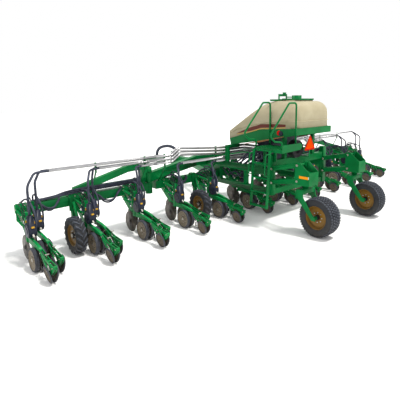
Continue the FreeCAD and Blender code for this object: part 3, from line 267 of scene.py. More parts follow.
# ---------------- meshes
def new_piece(name, bm, material, body, sharp=35.0):
    """Turns a finished bmesh into a piece that rides on body."""
    mesh = bpy.data.meshes.new(name)
    bm.to_mesh(mesh)
    bm.free()
    mesh.materials.append(material)
    for face in mesh.polygons:
        face.use_smooth = True
    mesh.set_sharp_from_angle(angle=math.radians(sharp))
    piece = bpy.data.objects.new(name, mesh)
    bpy.context.scene.collection.objects.link(piece)
    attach(piece, body)
    return piece


MERGE = 2e-5  # corners closer than this become one
FLAT = math.radians(0.8)  # neighbours turned less than this are one flat face
CREASE = math.radians(32.0)  # edges sharper than this are eased


def eased(node, material, body, width=0.0):
    """The CAD node again with merged corners, edges eased by width, and its finish."""
    bm = bmesh.new()
    bm.from_mesh(frame["nodes"][node].data)
    bmesh.ops.remove_doubles(bm, verts=bm.verts, dist=MERGE)
    if width:
        bmesh.ops.dissolve_limit(bm, angle_limit=FLAT, verts=bm.verts, edges=bm.edges)
        edges = [e for e in bm.edges if len(e.link_faces) == 2 and e.calc_face_angle(0.0) > CREASE]
        bmesh.ops.bevel(bm, geom=edges, offset=width, segments=2, affect="EDGES", clamp_overlap=True)
    piece = new_piece(node + "_finished", bm, material, body)
    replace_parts(piece, node)
    return piece


GREEN_NODES = (
    "centre_toolbar", "centre_frame", "left_side_truss", "right_side_truss", "rear_cross_beams", "tongue",
    "tank_cradle", "tank_saddle", "tank_rack", "caster_links", "caster_heads", "centre_lift_arms",
    "left_wing_toolbar", "right_wing_toolbar", "left_wing_lift_arm", "right_wing_lift_arm",
    "left_caster_fork", "right_caster_fork", "platform", "handrails", "ladder", "jack_tube", "jack_leg", "sign_stem")
ROW_NODES = (  # ending, finish, slot, width of the eased edges
    ("_row_frames", UNIT_GREEN, "bright_green_paint", 0.0015),
    ("_row_meters", BLACK_PLASTIC, "black_plastic", 0.006),
    ("_row_discs", DISC_STEEL, "disc_steel", 0.0),
    ("_seed_pipes", STAINLESS, "stainless", 0.0),
    ("_seed_hoses", HOSE, "hose_rubber", 0.0))


def dress_frame():
    """Gives the frame, row-unit, tank, fan and sign CAD nodes their finish and eased edges."""
    for node in GREEN_NODES:
        eased(node, FRAME_GREEN, BODY_OF[node], 0.004)
    for section in ("left_wing", "centre", "right_wing"):
        for ending, finish, slot, width in ROW_NODES:
            eased(section + ending, finish, BODY_OF[section + ending], width)
    eased("tank", TANK_TAN, "machine", 0.03)
    eased("tank_lid", FRAME_GREEN, "tank_lid", 0.01)
    eased("tank_hopper", BLACK_PLASTIC, "machine", 0.01)
    eased("fan", BLACK_PAINT, "machine", 0.004)
    eased("warning_sign", SIGN_RED, "machine")


# ---------------- repeated pieces
def lathe(profile, turns, centre=(0, 0, 0)):
    """Closed surface from (across, radius) points turned about the X axis through centre."""
    bm = bmesh.new()
    rings = []
    for across, radius in profile:
        rings.append([bm.verts.new((centre[0] + across, centre[1] + radius * math.sin(a),
                                    centre[2] + radius * math.cos(a))) for a in round_the_circle(turns)])
    for i, ring in enumerate(rings):
        after = rings[(i + 1) % len(rings)]
        for k in range(turns):
            bm.faces.new((ring[k], ring[(k + 1) % turns], after[(k + 1) % turns], after[k]))
    bmesh.ops.recalc_face_normals(bm, faces=bm.faces)
    return bm


def skin(bm, rings):
    """Joins a row of equal rings of corners into a tube with closed ends."""
    count = len(rings[0])
    for before, after in zip(rings, rings[1:]):
        for i in range(count):
            bm.faces.new((before[i], before[(i + 1) % count], after[(i + 1) % count], after[i]))
    bm.faces.new(rings[0])
    bm.faces.new(rings[-1])
    bmesh.ops.recalc_face_normals(bm, faces=bm.faces)
    return bm


def join(*meshes):
    """One bmesh from several."""
    whole = bmesh.new()
    for bm in meshes:
        scratch = bpy.data.meshes.new("scratch")
        bm.to_mesh(scratch)
        bm.free()
        whole.from_mesh(scratch)
        bpy.data.meshes.remove(scratch)
    return whole


def block(low, high, ease=0.0):
    """Box between two corners with its edges eased."""
    bm = bmesh.new()
    bmesh.ops.create_cube(bm, size=1.0)
    low, high = Vector(low), Vector(high)
    for v in bm.verts:
        v.co = Vector([low[i] if v.co[i] < 0 else high[i] for i in range(3)])
    if ease:
        bmesh.ops.bevel(bm, geom=bm.edges[:], offset=ease, segments=2, affect="EDGES", clamp_overlap=True)
    return bm


def round_bar(start, end, radius, turns=16):
    """Closed straight bar with flat ends."""
    start, end = Vector(start), Vector(end)
    length = (end - start).length
    bm = bmesh.new()
    bmesh.ops.create_cone(bm, cap_ends=True, segments=turns, radius1=radius, radius2=radius, depth=length)
    turn = (end - start).to_track_quat("Z", "Y").to_matrix().to_4x4()
    bm.transform(Matrix.Translation((start + end) / 2) @ turn)
    return bm


def copy_tree():
    """Node group: sets the part on every point, turned by the point's own angles, and gives it one finish."""
    tree = bpy.data.node_groups.new("set_out", "GeometryNodeTree")
    for name, kind in (("Points", "Geometry"), ("Part", "Object"), ("Finish", "Material")):
        tree.interface.new_socket(name, in_out="INPUT", socket_type="NodeSocket" + kind)
    tree.interface.new_socket("Pieces", in_out="OUTPUT", socket_type="NodeSocketGeometry")
    nodes, links = tree.nodes, tree.links
    given = nodes.new("NodeGroupInput")
    result = nodes.new("NodeGroupOutput")
    info = nodes.new("GeometryNodeObjectInfo")
    angles = nodes.new("GeometryNodeInputNamedAttribute")
    angles.data_type = "FLOAT_VECTOR"
    angles.inputs["Name"].default_value = "turn"
    turn = nodes.new("FunctionNodeEulerToRotation")
    place = nodes.new("GeometryNodeInstanceOnPoints")
    realize = nodes.new("GeometryNodeRealizeInstances")
    finish = nodes.new("GeometryNodeSetMaterial")
    wires = ((given.outputs["Points"], place.inputs["Points"]), (given.outputs["Part"], info.inputs["Object"]),
             (info.outputs["Geometry"], place.inputs["Instance"]), (angles.outputs["Attribute"], turn.inputs[0]),
             (turn.outputs[0], place.inputs["Rotation"]), (place.outputs["Instances"], realize.inputs["Geometry"]),
             (realize.outputs["Geometry"], finish.inputs["Geometry"]),
             (given.outputs["Finish"], finish.inputs["Material"]),
             (finish.outputs["Geometry"], result.inputs["Pieces"]))
    for source, target in wires:
        links.new(source, target)
    return tree


SET_OUT = copy_tree()


def taken_from(mesh):
    """The mesh as a bmesh; the mesh itself is dropped."""
    bm = bmesh.new()
    bm.from_mesh(mesh)
    bpy.data.meshes.remove(mesh)
    return bm


def set_out(name, part, places, material, body, sharp=35.0):
    """Copies of a small bmesh at (point, angles) places, as one piece on one body."""
    part_mesh = bpy.data.meshes.new(name + "_part")
    part.to_mesh(part_mesh)
    part.free()
    part_object = bpy.data.objects.new(name + "_part", part_mesh)
    points = bpy.data.meshes.new(name + "_points")
    points.from_pydata([place for place, _ in places], [], [])
    turns = points.attributes.new("turn", "FLOAT_VECTOR", "POINT")
    turns.data.foreach_set("vector", [angle for _, angles in places for angle in angles])
    holder = bpy.data.objects.new(name + "_holder", points)
    bpy.context.scene.collection.objects.link(holder)
    bpy.context.scene.collection.objects.link(part_object)
    modifier = holder.modifiers.new("set_out", "NODES")
    modifier.node_group = SET_OUT
    sockets = {item.name: item.identifier for item in SET_OUT.interface.items_tree}
    modifier[sockets["Part"]] = part_object
    modifier[sockets["Finish"]] = material
    bpy.context.view_layer.update()
    evaluated = holder.evaluated_get(bpy.context.evaluated_depsgraph_get())
    mesh = bpy.data.meshes.new_from_object(evaluated)
    bpy.data.objects.remove(holder)
    bpy.data.objects.remove(part_object)
    return new_piece(name, taken_from(mesh), material, body, sharp)


# ---------------- row-unit wheels; profiles are (across, radius)
GAUGE_RADIUS = 0.203
GAUGE_Y = -0.825
GAUGE_OUT = 0.0263
GAUGE_RIM = ((0.012, 0.022), (0.012, 0.160), (0.004, 0.1765), (0.064, 0.1765), (0.064, 0.168), (0.054, 0.158),
             (0.048, 0.130), (0.044, 0.125), (0.041, 0.060), (0.056, 0.048), (0.056, 0.022))
GAUGE_HUB = ((0.030, 0.001), (0.030, 0.030), (0.062, 0.028), (0.066, 0.022), (0.066, 0.001))
GAUGE_BOLT_RING = 0.082
GAUGE_TYRE = ((0.001, 0.170), (0.001, 0.192), (0.008, 0.2005), (0.024, 0.2028), (0.044, 0.2028), (0.061, 0.200),
              (0.069, 0.191), (0.068, 0.178), (0.060, 0.1735))
CLOSE_RADIUS = 0.146
CLOSE_Y = -1.450
CLOSE_Z = CLOSE_RADIUS + 0.0032
CLOSE_OUT = 0.052
CLOSE_TILT = math.radians(12)
CLOSE_RIM = ((-0.0105, 0.018), (-0.0105, 0.036), (-0.004, 0.050), (-0.004, 0.112), (-0.010, 0.122), (0.010, 0.122),
             (0.004, 0.112), (0.004, 0.050), (0.0105, 0.036), (0.0105, 0.018))
CLOSE_TYRE = ((-0.0125, 0.118), (-0.0125, 0.134), (-0.006, 0.1455), (0.006, 0.1455), (0.0125, 0.134), (0.0125, 0.118))


def unit_wheels():
    """Gauge wheels with dished discs and rubber rims, and the leaning closing wheels."""
    bolts = [round_bar((0.044, GAUGE_BOLT_RING * math.sin(a), GAUGE_BOLT_RING * math.cos(a)),
                       (0.053, GAUGE_BOLT_RING * math.sin(a), GAUGE_BOLT_RING * math.cos(a)), 0.008, 6)
             for a in round_the_circle(6)]

    def gauge_places(x, forward):
        y = BAR_Y + GAUGE_Y + forward
        return [((x + s * GAUGE_OUT, y, GAUGE_RADIUS), (0.0, 0.0, 0.0 if s > 0 else math.pi)) for s in SIDES]

    def close_places(x, forward):
        y = BAR_Y + CLOSE_Y + forward
        return [((x + s * CLOSE_OUT, y, CLOSE_Z), (0.0, s * CLOSE_TILT, 0.0)) for s in SIDES]

    kinds = (("gauge_rims", lathe(GAUGE_RIM, 40), gauge_places, WHEEL_GREY),
             ("gauge_hubs", join(lathe(GAUGE_HUB, 20), *bolts), gauge_places, ZINC),
             ("gauge_tyres", lathe(GAUGE_TYRE, 56), gauge_places, SMALL_TYRE),
             ("closing_rims", lathe(CLOSE_RIM, 36), close_places, CAST_BROWN),
             ("closing_tyres", lathe(CLOSE_TYRE, 48), close_places, SMALL_TYRE))
    for label, part, places, finish in kinds:
        for body, spots in by_body(places).items():
            piece = set_out(f"{body}_{label}", part.copy(), spots, finish, body)
            if label == "gauge_tyres":
                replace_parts(piece, section_of(body) + "_row_wheels")
        part.free()


# ---------------- big wheels
CASTER_SIDE = (0.84, 0.2485), (0.97, 0.285), (1.0, 0.325), (0.97, 0.362)  # share of the half width, radius
CASTER_CROWN = 0.017  # the grooves' depth
CASTER_BLOCKS = 44  # in each row round the tyre
CASTER_ROWS = (  # across, width, length, lean, height over the tyre's radius
    (-0.145, 0.046, 0.040, 0.30, -0.016), (-0.088, 0.050, 0.036, -0.22, -0.0035),
    (-0.029, 0.048, 0.036, 0.22, -0.0005), (0.029, 0.048, 0.036, -0.22, -0.0005),
    (0.088, 0.050, 0.036, 0.22, -0.0035), (0.145, 0.046, 0.040, -0.30, -0.016))
LIFT_SIDE = (0.80, 0.204), (0.97, 0.235), (1.0, 0.265)
LIFT_CROWN = 0.024  # the lugs' height
LUGS = 18  # on each side of a lift tyre


def tyre_sizes(node):
    """Middle, half width and radius of a tyre."""
    low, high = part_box(node)
    return (low + high) / 2, (high.x - low.x) / 2, (high.z - low.z) / 2


def carcass(label, node, side, turns, middle, half):
    """The tyre without its tread, from (share of the half width, radius) points from one bead to the middle."""
    profile = [(-half * share, radius) for share, radius in side]
    profile += [(half * share, radius) for share, radius in side[-2::-1]]
    bm = lathe(profile, turns, middle)
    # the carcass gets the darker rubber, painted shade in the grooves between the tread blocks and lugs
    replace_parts(new_piece(label + "_carcass", bm, TYRE_GROOVE_SHADE, BODY_OF[node], 50), node)


def caster_wheels():
    """Wide block-tread tyres with ribbed middles, gold rims with black hubs and wheel bolts."""
    for label in ("left_caster", "right_caster"):
        node = label + "_tyre"
        middle, half, radius = tyre_sizes(node)
        crown = radius - CASTER_CROWN
        side = (*CASTER_SIDE, (0.86, crown - 0.012), (0.6, crown - 0.003), (0, crown))
        carcass(label, node, side, 72, middle, half)
        for row, (across, wide, long, lean, lift) in enumerate(CASTER_ROWS):
            tread = block((-wide / 2, -long / 2, -0.02), (wide / 2, long / 2, 0.0), 0.003)
            tread.transform(Matrix.Rotation(lean, 4, "Z"))
            spots = []
            for a in round_the_circle(CASTER_BLOCKS, 0.5 * (row % 2)):
                place = middle + Vector((across, -(radius + lift) * math.sin(a), (radius + lift) * math.cos(a)))
                spots.append((tuple(place), (a, 0.0, 0.0)))
            set_out(f"{label}_tread_{row}", tread, spots, TYRE, BODY_OF[node])
        wheel_centre(label, middle, 0.2480, 0.14, -1)


def wheel_centre(label, middle, radius, half, side):
    """Pressed rim with a dished disc, a black hub and a ring of nuts; side is where the hub shows."""
    body = BODY_OF[label + "_rim"]
    out = half * side

    def turned(profile, turns):
        """Profile with its distances across as shares of the half width."""
        return lathe([(out * share, r) for share, r in profile], turns, middle)

    rim = turned(((-1, radius), (-1, radius - 0.012), (-0.86, radius - 0.022), (-0.2, radius - 0.034),
                  (0.35, radius - 0.040), (0.55, radius * 0.60), (0.40, radius * 0.36), (0.40, 0.036), (0.46, 0.036),
                  (0.46, radius * 0.38), (0.62, radius * 0.61), (0.50, radius - 0.030), (0.86, radius - 0.018),
                  (1, radius - 0.010), (1, radius)), 64)
    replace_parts(new_piece(label + "_rim_pressed", rim, RIM_GOLD, body, 40), label + "_rim")
    hub = turned(((0.2, 0.0362), (0.2, 0.058), (0.75, 0.055), (0.95, 0.048), (0.95, 0.0362)), 32)
    new_piece(label + "_hub", hub, BLACK_PAINT, body)
    if label.endswith("lift"):
        cap = turned(((0.90, 0.001), (0.90, 0.034), (1.02, 0.031), (1.10, 0.020), (1.10, 0.001)), 24)
        new_piece(label + "_hub_cap", cap, ZINC, body)
    nut = lathe([(0.0, 0.002), (0.0, 0.013), (0.016, 0.013), (0.019, 0.009), (0.019, 0.002)], 6)
    if side < 0:
        nut.transform(Matrix.Rotation(math.pi, 4, "Z"))
    nut_ring = radius * 0.42
    spots = [(tuple(middle + Vector((0.47 * out, nut_ring * math.sin(a), nut_ring * math.cos(a)))), (0.0, 0.0, 0.0))
             for a in round_the_circle(8)]
    set_out(label + "_wheel_nuts", nut, spots, STAINLESS, body)


def lift_wheels():
    """Tractor-lug tyres: two rows of curved bars that meet in a broken chevron."""
    for label in ("left_wing", "right_wing", "left_centre", "right_centre"):
        node = label + "_lift_tyre"
        middle, half, radius = tyre_sizes(node)
        crown = radius - LIFT_CROWN
        side = (*LIFT_SIDE, (0.92, crown - 0.022), (0.7, crown - 0.006), (0, crown))
        carcass(label + "_lift", node, side, 64, middle, half)
        for s, row, shift in ((-1, "left", 0.0), (1, "right", 0.5)):
            spots = [(tuple(middle), (a, 0.0, 0.0)) for a in round_the_circle(LUGS, shift)]
            lug = tread_bar(s, half, radius, crown)
            set_out(f"{label}_lugs_{row}", lug, spots, TYRE, BODY_OF[node], 30)
        wheel_centre(label + "_lift", middle, 0.2038, 0.07, -1 if middle.x < 0 else 1)


def tread_bar(s, half, radius, crown):
    """One curved lug from the middle of the tread to the shoulder, as a closed strip."""
    bm = bmesh.new()
    rings = []
    steps = 7
    for k in range(steps):
        t = k / (steps - 1)
        across = s * (0.004 + t * (half - 0.006))
        sweep = -0.40 * t + 0.13 * t * t
        top = radius - 0.004 * t - (0.030 if k == steps - 1 else 0.0)
        foot = (crown if t < 0.8 else crown - 0.03) - 0.012
        wide = 0.030 + 0.012 * t
        ring = []
        for r, w in ((foot, 1.35), (top, 0.8), (top, -0.8), (foot, -1.35)):
            a = sweep + w * wide / 2 / radius
            ring.append(bm.verts.new((across, -r * math.sin(a), r * math.cos(a))))
        rings.append(ring)
    return skin(bm, rings)


# ---------------- hoses, wires and fasteners
def smooth_lines(name, routes, steps):
    """Curve that follows each route as a smooth line from its first point to its last."""
    curve = bpy.data.curves.new(name + "_lines", "CURVE")
    curve.dimensions = "3D"
    curve.resolution_u = steps
    for route in routes:
        line = curve.splines.new("NURBS")
        line.points.add(len(route) - 1)
        for point, place in zip(line.points, route):
            point.co = (*place, 1.0)
        line.order_u = 3
        line.use_endpoint_u = True
    return curve


def mesh_of(curve):
    """The curve as a plain mesh."""
    holder = bpy.data.objects.new(curve.name, curve)
    bpy.context.scene.collection.objects.link(holder)
    bpy.context.view_layer.update()
    mesh = bpy.data.meshes.new_from_object(holder.evaluated_get(bpy.context.evaluated_depsgraph_get()))
    bpy.data.objects.remove(holder)
    return mesh


def hose_runs(name, routes, radius, material, body, steps=5):
    """Round hoses of one radius along smooth lines, as one piece on one body."""
    curve = smooth_lines(name, routes, steps)
    curve.bevel_depth = radius
    curve.bevel_resolution = 2
    curve.use_fill_caps = True
    bm = taken_from(mesh_of(curve))
    bmesh.ops.remove_doubles(bm, verts=bm.verts, dist=1e-6)
    bmesh.ops.recalc_face_normals(bm, faces=bm.faces)
    return new_piece(name, bm, material, body, 50)


def ribbed_hose(route, crest, valley, pitch):
    """Corrugated hose in the plane of X = 0 along a route, with closed ends."""
    mesh = mesh_of(smooth_lines("ribbed", [route], 24))
    points = [v.co.copy() for v in mesh.vertices]
    bpy.data.meshes.remove(mesh)
    lengths = [0.0]
    for a, b in zip(points, points[1:]):
        lengths.append(lengths[-1] + (b - a).length)
    count = int(lengths[-1] / pitch) * 2
    across = Vector((1.0, 0.0, 0.0))
    bm = bmesh.new()
    rings, i = [], 0
    for k in range(count + 1):
        want = lengths[-1] * k / count
        while i < len(points) - 2 and lengths[i + 1] < want:
            i += 1
        share = (want - lengths[i]) / (lengths[i + 1] - lengths[i])
        middle = points[i].lerp(points[i + 1], share)
        up = across.cross((points[i + 1] - points[i]).normalized())
        radius = crest if k % 2 else valley
        rings.append([bm.verts.new(middle + across * radius * math.cos(a) + up * radius * math.sin(a))
                      for a in round_the_circle(24)])
    return skin(bm, rings)


def tongue_bundle():
    """Ribbed sleeve of the hoses that arch over the tongue, between its two seats."""
    route = ((3.150, 0.8653), (3.150, 1.065), (3.690, 1.195), (4.450, 0.9995), (4.450, 0.7598))
    sleeve = ribbed_hose([at(0, y, z) for y, z in route], 0.0515, 0.0455, 0.026)
    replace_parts(new_piece("bundle_sleeve", sleeve, HOSE, "machine", 60), "hose_bundle")


def hex_nut(across, height):
    """Hexagon bolt head with a washer under it, standing out along +X."""
    return lathe([(0.0, 0.0005), (0.0, across * 0.72), (height * 0.25, across * 0.72), (height * 0.25, across * 0.55),
                  (height * 0.85, across * 0.55), (height, across * 0.45), (height, 0.0005)], 6)


VACUUM_R, WIRE_R, LOOP_R, TRUSS_R, BOX_R = 0.0165, 0.0065, 0.0175, 0.019, 0.021  # hoses' outer radii
# Routes of a unit's lines, from the toolbar's top back to the meter, as (across, back, share of the unit's forward
# set, height): the lines start on the bar, so their first stretch takes up the difference.
VACUUM_HOSE = ((0.050, 0.05, 0, 0.9755), (0.056, -0.06, 0.6, 1.055), (0.062, -0.30, 1, 1.120),
               (0.064, -0.520, 1, 1.060), (0.074, -0.640, 1, 0.900), (0.080, -0.640, 1, 0.760),
               (0.078, -0.620, 1, 0.690))
SENSOR_WIRE = ((-0.020, 0.04, 0, 0.9655), (-0.045, -0.09, 0.6, 1.010), (-0.062, -0.34, 1, 1.035),
               (-0.070, -0.46, 1, 0.900), (-0.068, -0.520, 1, 0.760), (-0.069, -0.600, 1, 0.700))
METER_WIRE = ((0.010, 0.03, 0, 0.9655), (-0.010, -0.12, 0.6, 1.060), (-0.030, -0.38, 1, 1.080),
              (-0.052, -0.47, 1, 0.960), (-0.040, -0.478, 1, 0.860))
PRESSURE_LINE = ((0.030, 0.03, 0, 0.9655), (0.040, -0.10, 0.6, 1.000), (0.034, -0.36, 1, 1.020),
                 (0.020, -0.435, 1, 0.985), (0.010, -0.440, 1, 0.930))


def unit_lines():
    """Vacuum hose, wires and pressure line of every unit."""
    def routed(*lines):
        return lambda x, forward: [[at(x + across, y + share * forward, z) for across, y, share, z in line]
                                   for line in lines]

    for body, routes in by_body(routed(VACUUM_HOSE)).items():
        hose_runs(body + "_vacuum_hoses", routes, VACUUM_R, HOSE, body)
    for body, routes in by_body(routed(SENSOR_WIRE, METER_WIRE, PRESSURE_LINE)).items():
        hose_runs(body + "_unit_wires", routes, WIRE_R, WIRE, body, 4)


def coil(start, end, radius, wire, turns):
    """Closed spring from start to end."""
    start, end = Vector(start), Vector(end)
    along = end - start
    aim = along.to_track_quat("Z", "Y").to_matrix()
    sides = 7
    steps = turns * sides
    bm = bmesh.new()
    rings = []
    for k in range(steps + 1):
        a = 2 * math.pi * k / sides
        out = aim @ Vector((math.cos(a), math.sin(a), 0.0))
        middle = start + along * k / steps + out * radius
        rings.append([bm.verts.new(middle + out * wire * math.cos(b) + along.normalized() * wire * math.sin(b))
                      for b in (0.8, 2.4, 3.9, 5.5)])
    return skin(bm, rings)


COVER_RIGHT = ((0.0625, 0.0005), (0.0625, 0.112), (0.069, 0.108), (0.069, 0.086), (0.073, 0.080), (0.073, 0.034),
               (0.079, 0.030), (0.079, 0.0005))
COVER_LEFT = ((-0.0625, 0.0005), (-0.0625, 0.112), (-0.069, 0.108), (-0.069, 0.060), (-0.076, 0.054),
              (-0.076, 0.0005))
METER_MIDDLE = Vector((0.0, -0.5953, 0.640))
CANISTER = ((0.575, 0.001), (0.575, 0.0212), (0.600, 0.0212), (0.602, 0.0204), (0.740, 0.0204), (0.742, 0.0212),
            (0.762, 0.0212), (0.762, 0.001))
CANISTER_FOOT = Vector((0.0463, -0.150, 0.0))
COULTER_HUB = ((-0.0043, 0.001), (-0.0043, 0.062), (-0.011, 0.060), (-0.014, 0.030), (-0.030, 0.026),
               (-0.034, 0.020), (-0.034, 0.001))
COULTER_MIDDLE = Vector((0.0, -0.235, 0.234))
COULTER_BOLT_RING = 0.040


def coulter_centre():
    """Hub of the coulter disc with its six bolts."""
    hub = lathe(COULTER_HUB, 24)
    hub.transform(Matrix.Translation(COULTER_MIDDLE))
    bolts = []
    for a in round_the_circle(6):
        bolt = hex_nut(0.010, 0.008)
        place = COULTER_MIDDLE + Vector((-0.011, COULTER_BOLT_RING * math.sin(a), COULTER_BOLT_RING * math.cos(a)))
        bolt.transform(Matrix.Translation(place) @ Matrix.Rotation(math.pi, 4, "Z"))
        bolts.append(bolt)
    return join(hub, *bolts)


def unit_fittings():
    """Springs, bolts, clips, meter covers and depth lever of every unit, placed from the toolbar's centre line."""
    spring = join(*[coil((s * 0.052, -0.125, 0.868), (s * 0.052, -0.365, 0.735), 0.016, 0.0032, 9) for s in SIDES])
    cover = join(lathe(COVER_RIGHT, 28), lathe(COVER_LEFT, 28))
    cover.transform(Matrix.Translation(METER_MIDDLE))
    canister = lathe(CANISTER, 16)
    canister.transform(Matrix.Translation(CANISTER_FOOT) @ Matrix.Rotation(-math.pi / 2, 4, "Y"))
    clip = join(block((0.043, -0.640, 0.742), (0.066, -0.575, 0.790), 0.004),
                block((-0.020, -0.716, 0.700), (0.030, -0.690, 0.728), 0.004),
                block((-0.060, -0.560, 0.770), (-0.0425, -0.535, 0.812), 0.004))
    plug = join(block((0.043, -0.600, 0.800), (0.058, -0.560, 0.838), 0.003),
                block((-0.030, -0.500, 0.780), (0.030, -0.474, 0.806), 0.003),
                round_bar((0.0, -0.690, 0.600), (0.0, -0.745, 0.560), 0.014, 10))
    lever = join(round_bar((0.0, -1.235, 0.300), (0.0, -1.330, 0.430), 0.008, 8),
                 round_bar((-0.030, -1.330, 0.430), (0.030, -1.330, 0.430), 0.010, 8),
                 coil((0.0, -1.150, 0.330), (0.0, -1.290, 0.265), 0.012, 0.003, 7),
                 round_bar((-0.034, -1.300, 0.240), (0.034, -1.300, 0.240), 0.010, 8))
    scraper = join(*[block((s * 0.076 - 0.004, -1.295, 0.150), (s * 0.076 + 0.004, -1.262, 0.235), 0.002)
                     for s in SIDES],
                   block((-0.080, -1.290, 0.228), (0.080, -1.268, 0.240), 0.002))

    def here(x, forward):
        return [((x, BAR_Y + forward, 0.0), (0.0, 0.0, 0.0))]

    def spring_places(x, forward):
        """Only the units set back have room for springs between the arms."""
        return here(x, forward) if forward == 0.0 else []

    def pin_places(x, forward):
        arms = [(-0.112, 0.735), (-0.112, 0.905), (-0.450 + forward, 0.695), (-0.450 + forward, 0.865)]
        tail = [(-1.450 + forward, 0.150), (-1.100 + forward, 0.390), (-1.620 + forward, 0.300)]
        return [((x + s * out, BAR_Y + y, z), (0.0, 0.0, 0.0 if s > 0 else math.pi))
                for s in SIDES for out, spots in ((0.0792, arms), (0.0302, tail)) for y, z in spots]

    kinds = (("springs", spring, spring_places, ZINC, "disc_steel"),
             ("pins", hex_nut(0.017, 0.012), pin_places, ZINC, "disc_steel"),
             ("meter_covers", cover, here, BLACK_PLASTIC, "black_plastic"),
             ("canister_sleeves", canister, here, CANISTER_BLUE, "black_plastic"),
             ("coulter_hubs", coulter_centre(), here, DARK_STEEL, "disc_steel"),
             ("clips", clip, here, CLIP_YELLOW, "black_plastic"),
             ("plugs", plug, here, CLIP_WHITE, "black_plastic"),
             ("levers", lever, here, ZINC, "disc_steel"),
             ("scrapers", scraper, here, BLACK_PAINT, "black_paint"))
    for label, part, places, finish, slot in kinds:
        for body, spots in by_body(places).items():
            set_out(f"{body}_{label}", part.copy(), spots, finish, body)
        part.free()


CLAMP_ROD = 0.008
CLAMP_FRONT, CLAMP_REAR, CLAMP_TOP, CLAMP_UNDER = 0.112, -0.122, 0.9685, 0.7715
CLAMP_OUT = 0.066  # from the unit's middle to either clamp
CLAMP_NUT_Y = -0.1035


def bar_clamps():
    """U-bolts on both sides of every unit's plate, wherever there is bar under them."""
    legs = (((CLAMP_REAR, CLAMP_TOP), (CLAMP_FRONT, CLAMP_TOP)),
            ((CLAMP_FRONT, CLAMP_TOP + CLAMP_ROD), (CLAMP_FRONT, CLAMP_UNDER - CLAMP_ROD)),
            ((CLAMP_REAR, CLAMP_UNDER), (CLAMP_FRONT, CLAMP_UNDER)))
    parts = [round_bar((0, *start), (0, *end), CLAMP_ROD, 8) for start, end in legs]
    for z in (CLAMP_TOP, CLAMP_UNDER):
        nut = hex_nut(0.018, 0.014)
        nut.transform(Matrix.Translation((0, CLAMP_NUT_Y, z)) @ Matrix.Rotation(-math.pi / 2, 4, "Z"))
        parts.append(nut)
    clamp = join(*parts)
    bar_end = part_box("right_wing_toolbar")[1].x - 0.012

    def places(x, _):
        across = [x + s * CLAMP_OUT for s in SIDES]
        return [((place, BAR_Y, 0.0), (0.0, 0.0, 0.0)) for place in across if abs(place) < bar_end]

    for body, spots in by_body(places).items():
        set_out(body + "_u_bolts", clamp.copy(), spots, ZINC, body)
    clamp.free()


BAR_LOOPS = (  # body, (one end, other end, lowest height) of each pair of hoses
    ("left_wing", ((-5.42, -5.02, 0.80), (-4.40, -3.76, 0.73))),
    ("right_wing", ((5.42, 5.02, 0.80), (4.40, 3.76, 0.73))),
    ("machine", ((-2.36, -2.08, 0.83), (-1.72, -1.14, 0.76), (2.36, 2.08, 0.83), (1.72, 1.14, 0.76))))


def bar_loops():
    """Hydraulic hoses that hang in loops behind the toolbar between the units."""
    for body, spans in BAR_LOOPS:
        routes = []
        for x0, x1, low in spans:
            for k in range(2):
                y, drop = -0.150 - 0.045 * k, low + 0.05 * k
                routes.append([at(x0, -0.050, 0.978), at(x0, -0.115, 0.985), at(x0 * 0.85 + x1 * 0.15, y, 0.930),
                               at(x0 * 0.65 + x1 * 0.35, y, drop), at(x0 * 0.35 + x1 * 0.65, y, drop - 0.01),
                               at(x0 * 0.15 + x1 * 0.85, y, 0.940), at(x1, -0.110, 0.985), at(x1, -0.045, 0.978)])
        hose_runs(body + "_bar_loops", routes, LOOP_R, HOSE, body)


# ---------------- tank and sign
def surface_of(*nodes):
    """Search tree over the outside of some CAD nodes."""
    bm = bmesh.new()
    for node in nodes:
        bm.from_mesh(frame["nodes"][node].data)
    tree = BVHTree.FromBMesh(bm)
    bm.free()
    return tree


def height_on(line, y):
    """Height at y of a line given as (y, z) points."""
    line = sorted(line)
    if y <= line[0][0]:
        return line[0][1]
    for (y0, z0), (y1, z1) in zip(line, line[1:]):
        if y <= y1:
            return z0 + (z1 - z0) * (y - y0) / (y1 - y0)
    return line[-1][1]


def laid_on(tree, stations, rows, proud, depth):
    """Closed strip that follows a surface: each station is (lower, upper, inward direction)."""
    bm = bmesh.new()
    columns = []
    for low, high, inward in stations:
        outer, inner = [], []
        for k in range(rows + 1):
            aim = low.lerp(high, k / rows)
            hit = tree.ray_cast(aim - inward * 0.6, inward)[0] or aim
            edge = 0.25 if k in (0, rows) else 1.0
            outer.append(bm.verts.new(hit - inward * proud * edge))
            inner.append(bm.verts.new(hit + inward * depth))
        columns.append((outer, inner))
    for (outer_a, inner_a), (outer_b, inner_b) in zip(columns, columns[1:]):
        for k in range(rows):
            bm.faces.new((outer_a[k], outer_b[k], outer_b[k + 1], outer_a[k + 1]))
            bm.faces.new((inner_a[k], inner_a[k + 1], inner_b[k + 1], inner_b[k]))
        for k in (0, rows):
            bm.faces.new((outer_a[k], inner_a[k], inner_b[k], outer_b[k]))
    for outer, inner in (columns[0], columns[-1]):
        for k in range(rows):
            bm.faces.new((outer[k], outer[k + 1], inner[k + 1], inner[k]))
    bmesh.ops.recalc_face_normals(bm, faces=bm.faces)
    return bm


